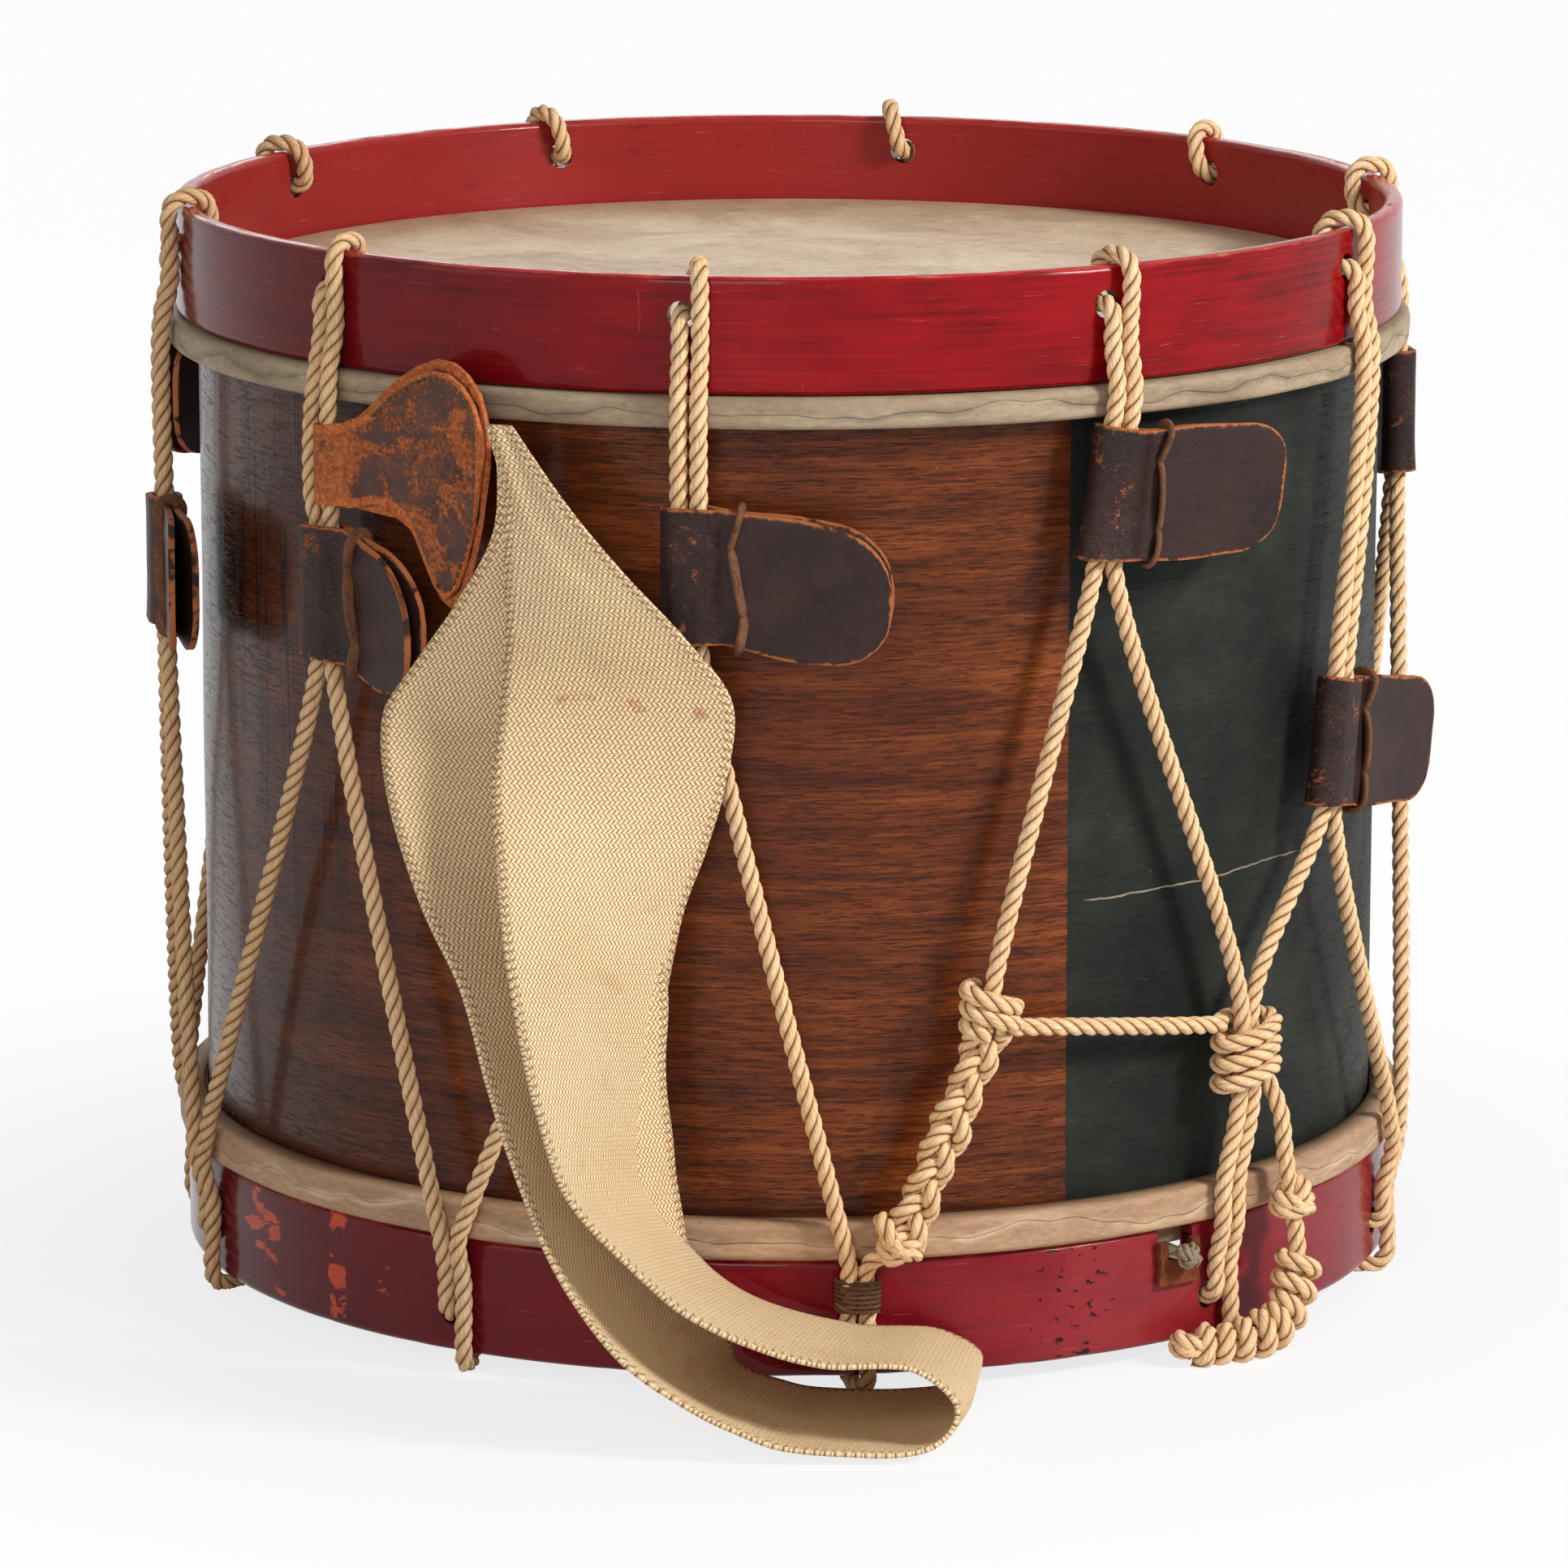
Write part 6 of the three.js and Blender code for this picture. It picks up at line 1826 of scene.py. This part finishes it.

# %% [markdown]
# The ears are old harness leather, nearly black on the face, creased and scuffed brown where they rub, and
# the creases on the fold are drawn as thin lines of painted shade. The distance from the cut edge was stored
# on the grid, so the faces can lighten towards it, and the raw rim, which has its own material, is fibrous
# and orange-brown. Thongs, stitches and the butt are as fibrous.

# %% Leather finishes
def leather_recipe(dark, mid, scuff, edge, scuffed, sleeve_scuffed):
    """A leather face; scuffed is the share of the flaps that is rubbed, sleeve_scuffed that of the fold."""
    def recipe(wire):
        place = object_place(wire)
        fold = size_of(part(on_map(wire), 0))
        on_sleeve = step(fold, 0.024, 0.012)
        creases = grain(place, 3.2, 6, 0.72, 1.2, stretch=(1, 1, 0.7))
        pebble = grain(place, 0.9, 4, 0.6)
        cloud = grain(place, 20, 4, 0.6, 0.5)
        colour = ramp(cloud * 0.7 + creases * 0.3, (0.3, dark), (0.7, mid))
        # Painted shade: thin dark lines in the creases of the fold.
        crease = step(size_of(creases - 0.5), 0.012, 0.0) * on_sleeve
        colour = blend(crease * 0.6, colour, dark)
        patches = grain(place, 9, 3, 0.6, 0.6)
        flaking = grain(place, 1.6, 5, 0.75, 0.4, stretch=(1, 1, 0.6))
        share = scuffed + (sleeve_scuffed - scuffed) * on_sleeve
        rubbed = step(patches * 0.55 + flaking * 0.45 + (share - 0.5) * 0.4, 0.53, 0.57)
        colour = blend(rubbed * 0.85, colour, scuff)
        away = edge_distance(wire)
        fray = (grain(place, 2.2, 5, 0.7) - 0.5) * 0.003
        near_edge = step(away + fray, 0.0011, 0.0003)
        colour = blend(near_edge * 0.8 * step(patches, 0.36, 0.5), colour, edge)
        roughness = 0.4 + rubbed * 0.35 + pebble * 0.12 + near_edge * 0.25
        height_map = creases * 0.7 + pebble * 0.35 - crease * 0.8 - rubbed * 0.3 - near_edge * 0.4
        return {"colour": colour, "roughness": roughness, "height": height_map}

    return recipe


def tab_recipe(wire):
    """The tab: a dark face scratched down to orange suede, and a bare suede border outside the stitches."""
    place = object_place(wire)
    fold = size_of(part(on_map(wire), 0))
    fluff = grain(place, 1.6, 5, 0.7)
    suede = shades(fluff, (0.32, 136, 68, 34), (0.5, 184, 98, 52), (0.7, 214, 132, 80))
    cloud = grain(place, 14, 4, 0.6, 0.4)
    dark = shades(cloud, (0.3, 48, 30, 26), (0.7, 92, 62, 52))
    patches = grain(place, 15, 3, 0.6, 1.2, stretch=(1.3, 1, 0.8))
    scratches = grain(place, 1.3, 6, 0.8, 0.6, stretch=(2.2, 1, 1))
    near_fold = step(fold, 0.030, 0.012)
    rubbed = step(patches * 0.45 + scratches * 0.55 + near_fold * 0.06, 0.47, 0.55)
    away = edge_distance(wire)
    fray = (scratches - 0.5) * 0.003
    border = step(away + fray, 0.0034, 0.0026)
    colour = blend(rubbed * 0.8, dark, suede)
    colour = blend(border * 0.9, colour, suede)
    worn = (rubbed + border).of("MINIMUM", 1.0)
    height_map = scratches * 0.5 + cloud * 0.6 - worn * 0.4
    return {"colour": colour, "roughness": 0.42 + worn * 0.45, "height": height_map}


def fibrous(name, light, dark, bump_mm, specular):
    """The finish of a raw edge, of rawhide or of waxed thread."""
    def recipe(wire):
        place = object_place(wire)
        fibres = grain(place, 0.9, 5, 0.7, 0.6)
        cloud = grain(place, 7, 3)
        colour = shades(fibres * 0.6 + cloud * 0.4, (0.34, *dark), (0.62, *light))
        return {"colour": colour, "roughness": 0.78 + fibres * 0.15, "height": fibres}

    return finish(name, recipe, bump_mm=bump_mm, specular=specular)


ear_leather = leather_recipe(
    paint(28, 16, 14), paint(60, 36, 30), paint(158, 92, 56), paint(188, 108, 60), 0.04, 0.42)
ear_face = finish("ear_leather_face", ear_leather, bump_mm=0.36, specular=0.24)
ear_rim = fibrous("ear_leather_rim", (196, 112, 66), (104, 50, 26), 0.25, 0.1)
for ear in ear_pieces:
    wear(ear, ear_face, ear_rim)
tab_face = finish("tab_leather_face", tab_recipe, bump_mm=0.25, specular=0.2)
wear(tab, tab_face, fibrous("tab_leather_rim", (216, 132, 74), (150, 78, 38), 0.25, 0.2))
wear(tab_stitches, fibrous("waxed_stitches", (112, 86, 60), (52, 38, 28), 0.1, 0.3))
wear(butt, fibrous("butt_leather", (136, 70, 40), (62, 30, 20), 0.5, 0.2))
thong_finish = fibrous("thong_rawhide", (132, 88, 60), (62, 40, 30), 0.18, 0.2)
for thong in thong_pieces:
    wear(thong, thong_finish)
print("leather finishes made")

# %% [markdown]
# The webbing is thick cotton in a herringbone. Its stitches lie in rows across the band, leaning one way in
# one row and the other way in the next, with a small slot beside each. The slots and the grooves between the
# rows are painted darker as shade. The rows come from the place along the band and the slots from the place
# across it. Faint pink stains cross it, and whip stitches hold its edges.

# %% Webbing finish
ROW = 1.55 * MM
STITCH_WIDTH = 1.75 * MM
WHIP_STEP = 2.9 * MM
SMEAR_AT = 98 * MM


def web_recipe(wire):
    place = on_map(wire)
    across, along = part(place, 0), part(place, 1)
    wander = grain(place, 5, 3, 0.6) - 0.5
    row_place = along * (1 / ROW) + wander * 0.5
    within = row_place.of("FRACT") - 0.5
    row = row_place.of("FLOOR")
    leaning = row.of("PINGPONG", 1.0) * 2 - 1
    lean_place = across * (1 / STITCH_WIDTH) + within * leaning * 0.7 + leaning * 0.25 + wander * 0.4
    beside = size_of(lean_place.of("FRACT") - 0.5)
    # Painted shade: each slot and the groove between the rows are darkened.
    slot = step(beside, 0.2, 0.05) * step(size_of(within), 0.46, 0.2)
    row_groove_shade = step(size_of(within), 0.36, 0.5)
    stitch = (1 - slot) * (1 - row_groove_shade * 0.6)
    wool = grain(object_place(wire), 0.7, 4, 0.7)
    cloud = grain(object_place(wire), 34, 4, 0.6)
    tone = stitch * 0.45 + wool * 0.25 + cloud * 0.3
    colour = shades(tone, (0.25, 200, 152, 100), (0.5, 236, 198, 148), (0.72, 250, 222, 178))
    colour = over(colour, slot * 0.85, 150, 100, 56)
    stain = step(grain(object_place(wire), 26, 5, 0.6, 0.7, stretch=(1, 1, 0.7)), 0.6, 0.72)
    colour = over(colour, stain * 0.25, 206, 136, 110)
    smear = step(grain(place, 7, 3, 0.6, stretch=(1.6, 1, 1)), 0.56, 0.68)
    smear = smear * step(size_of(along - SMEAR_AT), 0.006, 0.001)
    colour = over(colour, smear * 0.6, 196, 110, 90)
    away = edge_distance(wire)
    in_seam = step(away, 0.0002, 0.0006) * step(away, 0.0034, 0.0028)
    beat = (along * (1 / WHIP_STEP) + away * 110) * (2 * math.pi)
    stitches = step(beat.of("SINE"), 0.45, 0.8) * in_seam
    colour = over(colour, stitches * 0.6, 160, 112, 66)
    height_map = stitch * 0.8 + wool * 0.35 + stitches * 0.7 - in_seam * 0.2
    return {"colour": colour, "roughness": 0.88 + wool * 0.1, "height": height_map}


wear(webbing, finish("sling_webbing_weave", web_recipe, bump_mm=0.6, specular=0.1))
print("row of stitches every", ROW, "m")

# %% [markdown]
# The last finishes are small. Gut is horny. Old brass is dull and spotted, and the screw thread on the
# hook's shank comes from a wave along it. The hoops and rings inside the drum are bare wood.

# %% Gut, brass and bare wood
def gut_recipe(wire):
    place = object_place(wire)
    streak = grain(place, 1.6, 4, 0.6)
    colour = shades(streak, (0.35, 150, 130, 100), (0.65, 206, 188, 156))
    return {"colour": colour, "roughness": 0.35 + streak * 0.2, "height": streak}


def brass_recipe(wire):
    place = object_place(wire)
    spots = grain(place, 5, 5, 0.65)
    fine = grain(place, 0.7, 3)
    tone = spots * 0.75 + fine * 0.25
    colour = shades(tone, (0.34, 104, 76, 44), (0.52, 166, 130, 72), (0.7, 192, 158, 94))
    return {"colour": colour, "roughness": 0.32 + spots * 0.35, "height": fine * 0.5 + spots}


def thread_recipe(wire):
    made = brass_recipe(wire)
    place = object_place(wire)
    turn = math.radians(SNARE_AZIMUTH + 180)
    out = (part(place, 0) - axis.x) * math.sin(turn) + (part(place, 1) - axis.y) * -math.cos(turn)
    shank = step(out, FACE_Y + 0.017, FACE_Y + 0.018)
    wave = out * (2 * math.pi / (0.9 * MM))
    made["height"] = made["height"] * 0.3 + wave.of("SINE") * shank * 0.5
    return made


def wood_recipe(wire):
    _, place, _ = round_drum(wire)
    bands = grain(place, 3.2, 5, 0.65, 0.4, stretch=(14, 4, 1))
    colour = shades(bands, (0.3, 126, 92, 60), (0.7, 190, 152, 108))
    return {"colour": colour, "roughness": 0.66 + bands * 0.15, "height": bands}


wear(gut, finish("gut_strand", gut_recipe, bump_mm=0.05))
brass = finish("old_brass", brass_recipe, bump_mm=0.08, metallic=1.0)
wear(bridge, brass)
wear(nut, brass)
wear(hook, finish("threaded_brass", thread_recipe, bump_mm=0.3, metallic=1.0))
bare_wood = finish("bare_wood", wood_recipe, bump_mm=0.15)
for name in ("top_glue_ring", "bottom_glue_ring", "top_flesh_hoop", "bottom_flesh_hoop"):
    wear(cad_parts[name], bare_wood)
print("finishes:", len(bpy.data.materials))

# %% [markdown]
# ## Light and floor
#
# The photograph has a white background, a lamp to the right and above, and softer light from everywhere
# else. The rope's shadows fall to the left on the shell, which gives the lamp's side. The floor takes the
# drum's shadow but is nearly white to the camera, and the sky is quite white to it.

# %% Light
LAMPS_AIM = Vector((0, 0, 0.2))
WHITE = (1.0, 1.0, 1.0)
SKY_LIGHT = 0.17
FLOOR_REACH = 6


def soft_lamp(name, place, size, watts):
    data = bpy.data.lights.new(name, "AREA")
    data.shape = "RECTANGLE"
    data.size, data.size_y = size
    data.energy = watts
    lamp = new_object(name, data)
    aim(lamp, Vector(place), LAMPS_AIM - Vector(place))


soft_lamp("key_lamp", (1.72, -1.02, 1.42), (0.5, 0.5), 48)
soft_lamp("front_lamp", (-0.5, -2.2, 1.1), (1.0, 1.0), 14)
soft_lamp("left_lamp", (-1.9, -1.2, 0.9), (1.2, 1.2), 5)
soft_lamp("back_lamp", (-0.4, 1.9, 1.3), (1.2, 0.8), 9)


def to_camera(wire):
    """1 for the rays that see the white background: the camera's, also by way of gloss and glass."""
    names = ("Is Camera Ray", "Is Glossy Ray", "Is Transmission Ray")
    seen, glossy, through_glass = [wire.node("LightPath", None, None, name) for name in names]
    return (seen + glossy + through_glass).of("MINIMUM", 1.0)


world = bpy.data.worlds.new("studio")
world.use_nodes = True
world.node_tree.nodes.clear()
sky = Wire(world.node_tree)
light = sky.node("Background", None, {"Color": WHITE, "Strength": SKY_LIGHT})
shown = sky.node("Background", None, {"Color": WHITE, "Strength": 1.0})
mixed = sky.node("MixShader", None, {0: to_camera(sky), 1: light, 2: shown})
sky.node("OutputWorld", None, {"Surface": mixed})
bpy.context.scene.world = world

bm = bmesh.new()
bmesh.ops.create_grid(bm, x_segments=1, y_segments=1, size=FLOOR_REACH)
floor = mesh_object("studio_floor", bm, smooth=False)
floor_finish = bpy.data.materials.new("studio_floor")
floor_finish.use_nodes = True
floor_finish.node_tree.nodes.clear()
ground = Wire(floor_finish.node_tree)
matt = ground.node("BsdfDiffuse", None, {"Color": (0.86, 0.86, 0.87)})
glow = ground.node("Emission", None, {"Color": WHITE, "Strength": 1.0})
spot = object_place(ground)
east, north = part(spot, 0), part(spot, 1)
from_drum = (east * east + north * north).of("SQRT")
glowing = 0.78 + step(from_drum, 0.16, 0.5) * 0.19
seen = ground.node("MixShader", None, {0: to_camera(ground) * glowing, 1: matt, 2: glow})
ground.node("OutputMaterial", None, {"Surface": seen})
wear(floor, floor_finish)
bpy.context.scene.view_settings.view_transform = "Standard"

# %% [markdown]
# ## Clearing up
#
# The sections that the ropes were swept with are only tools, so they are removed.

# %% Finish
for section in (rope_section, twine_section, thong_section, gut_section, thick_gut):
    bpy.data.objects.remove(section)
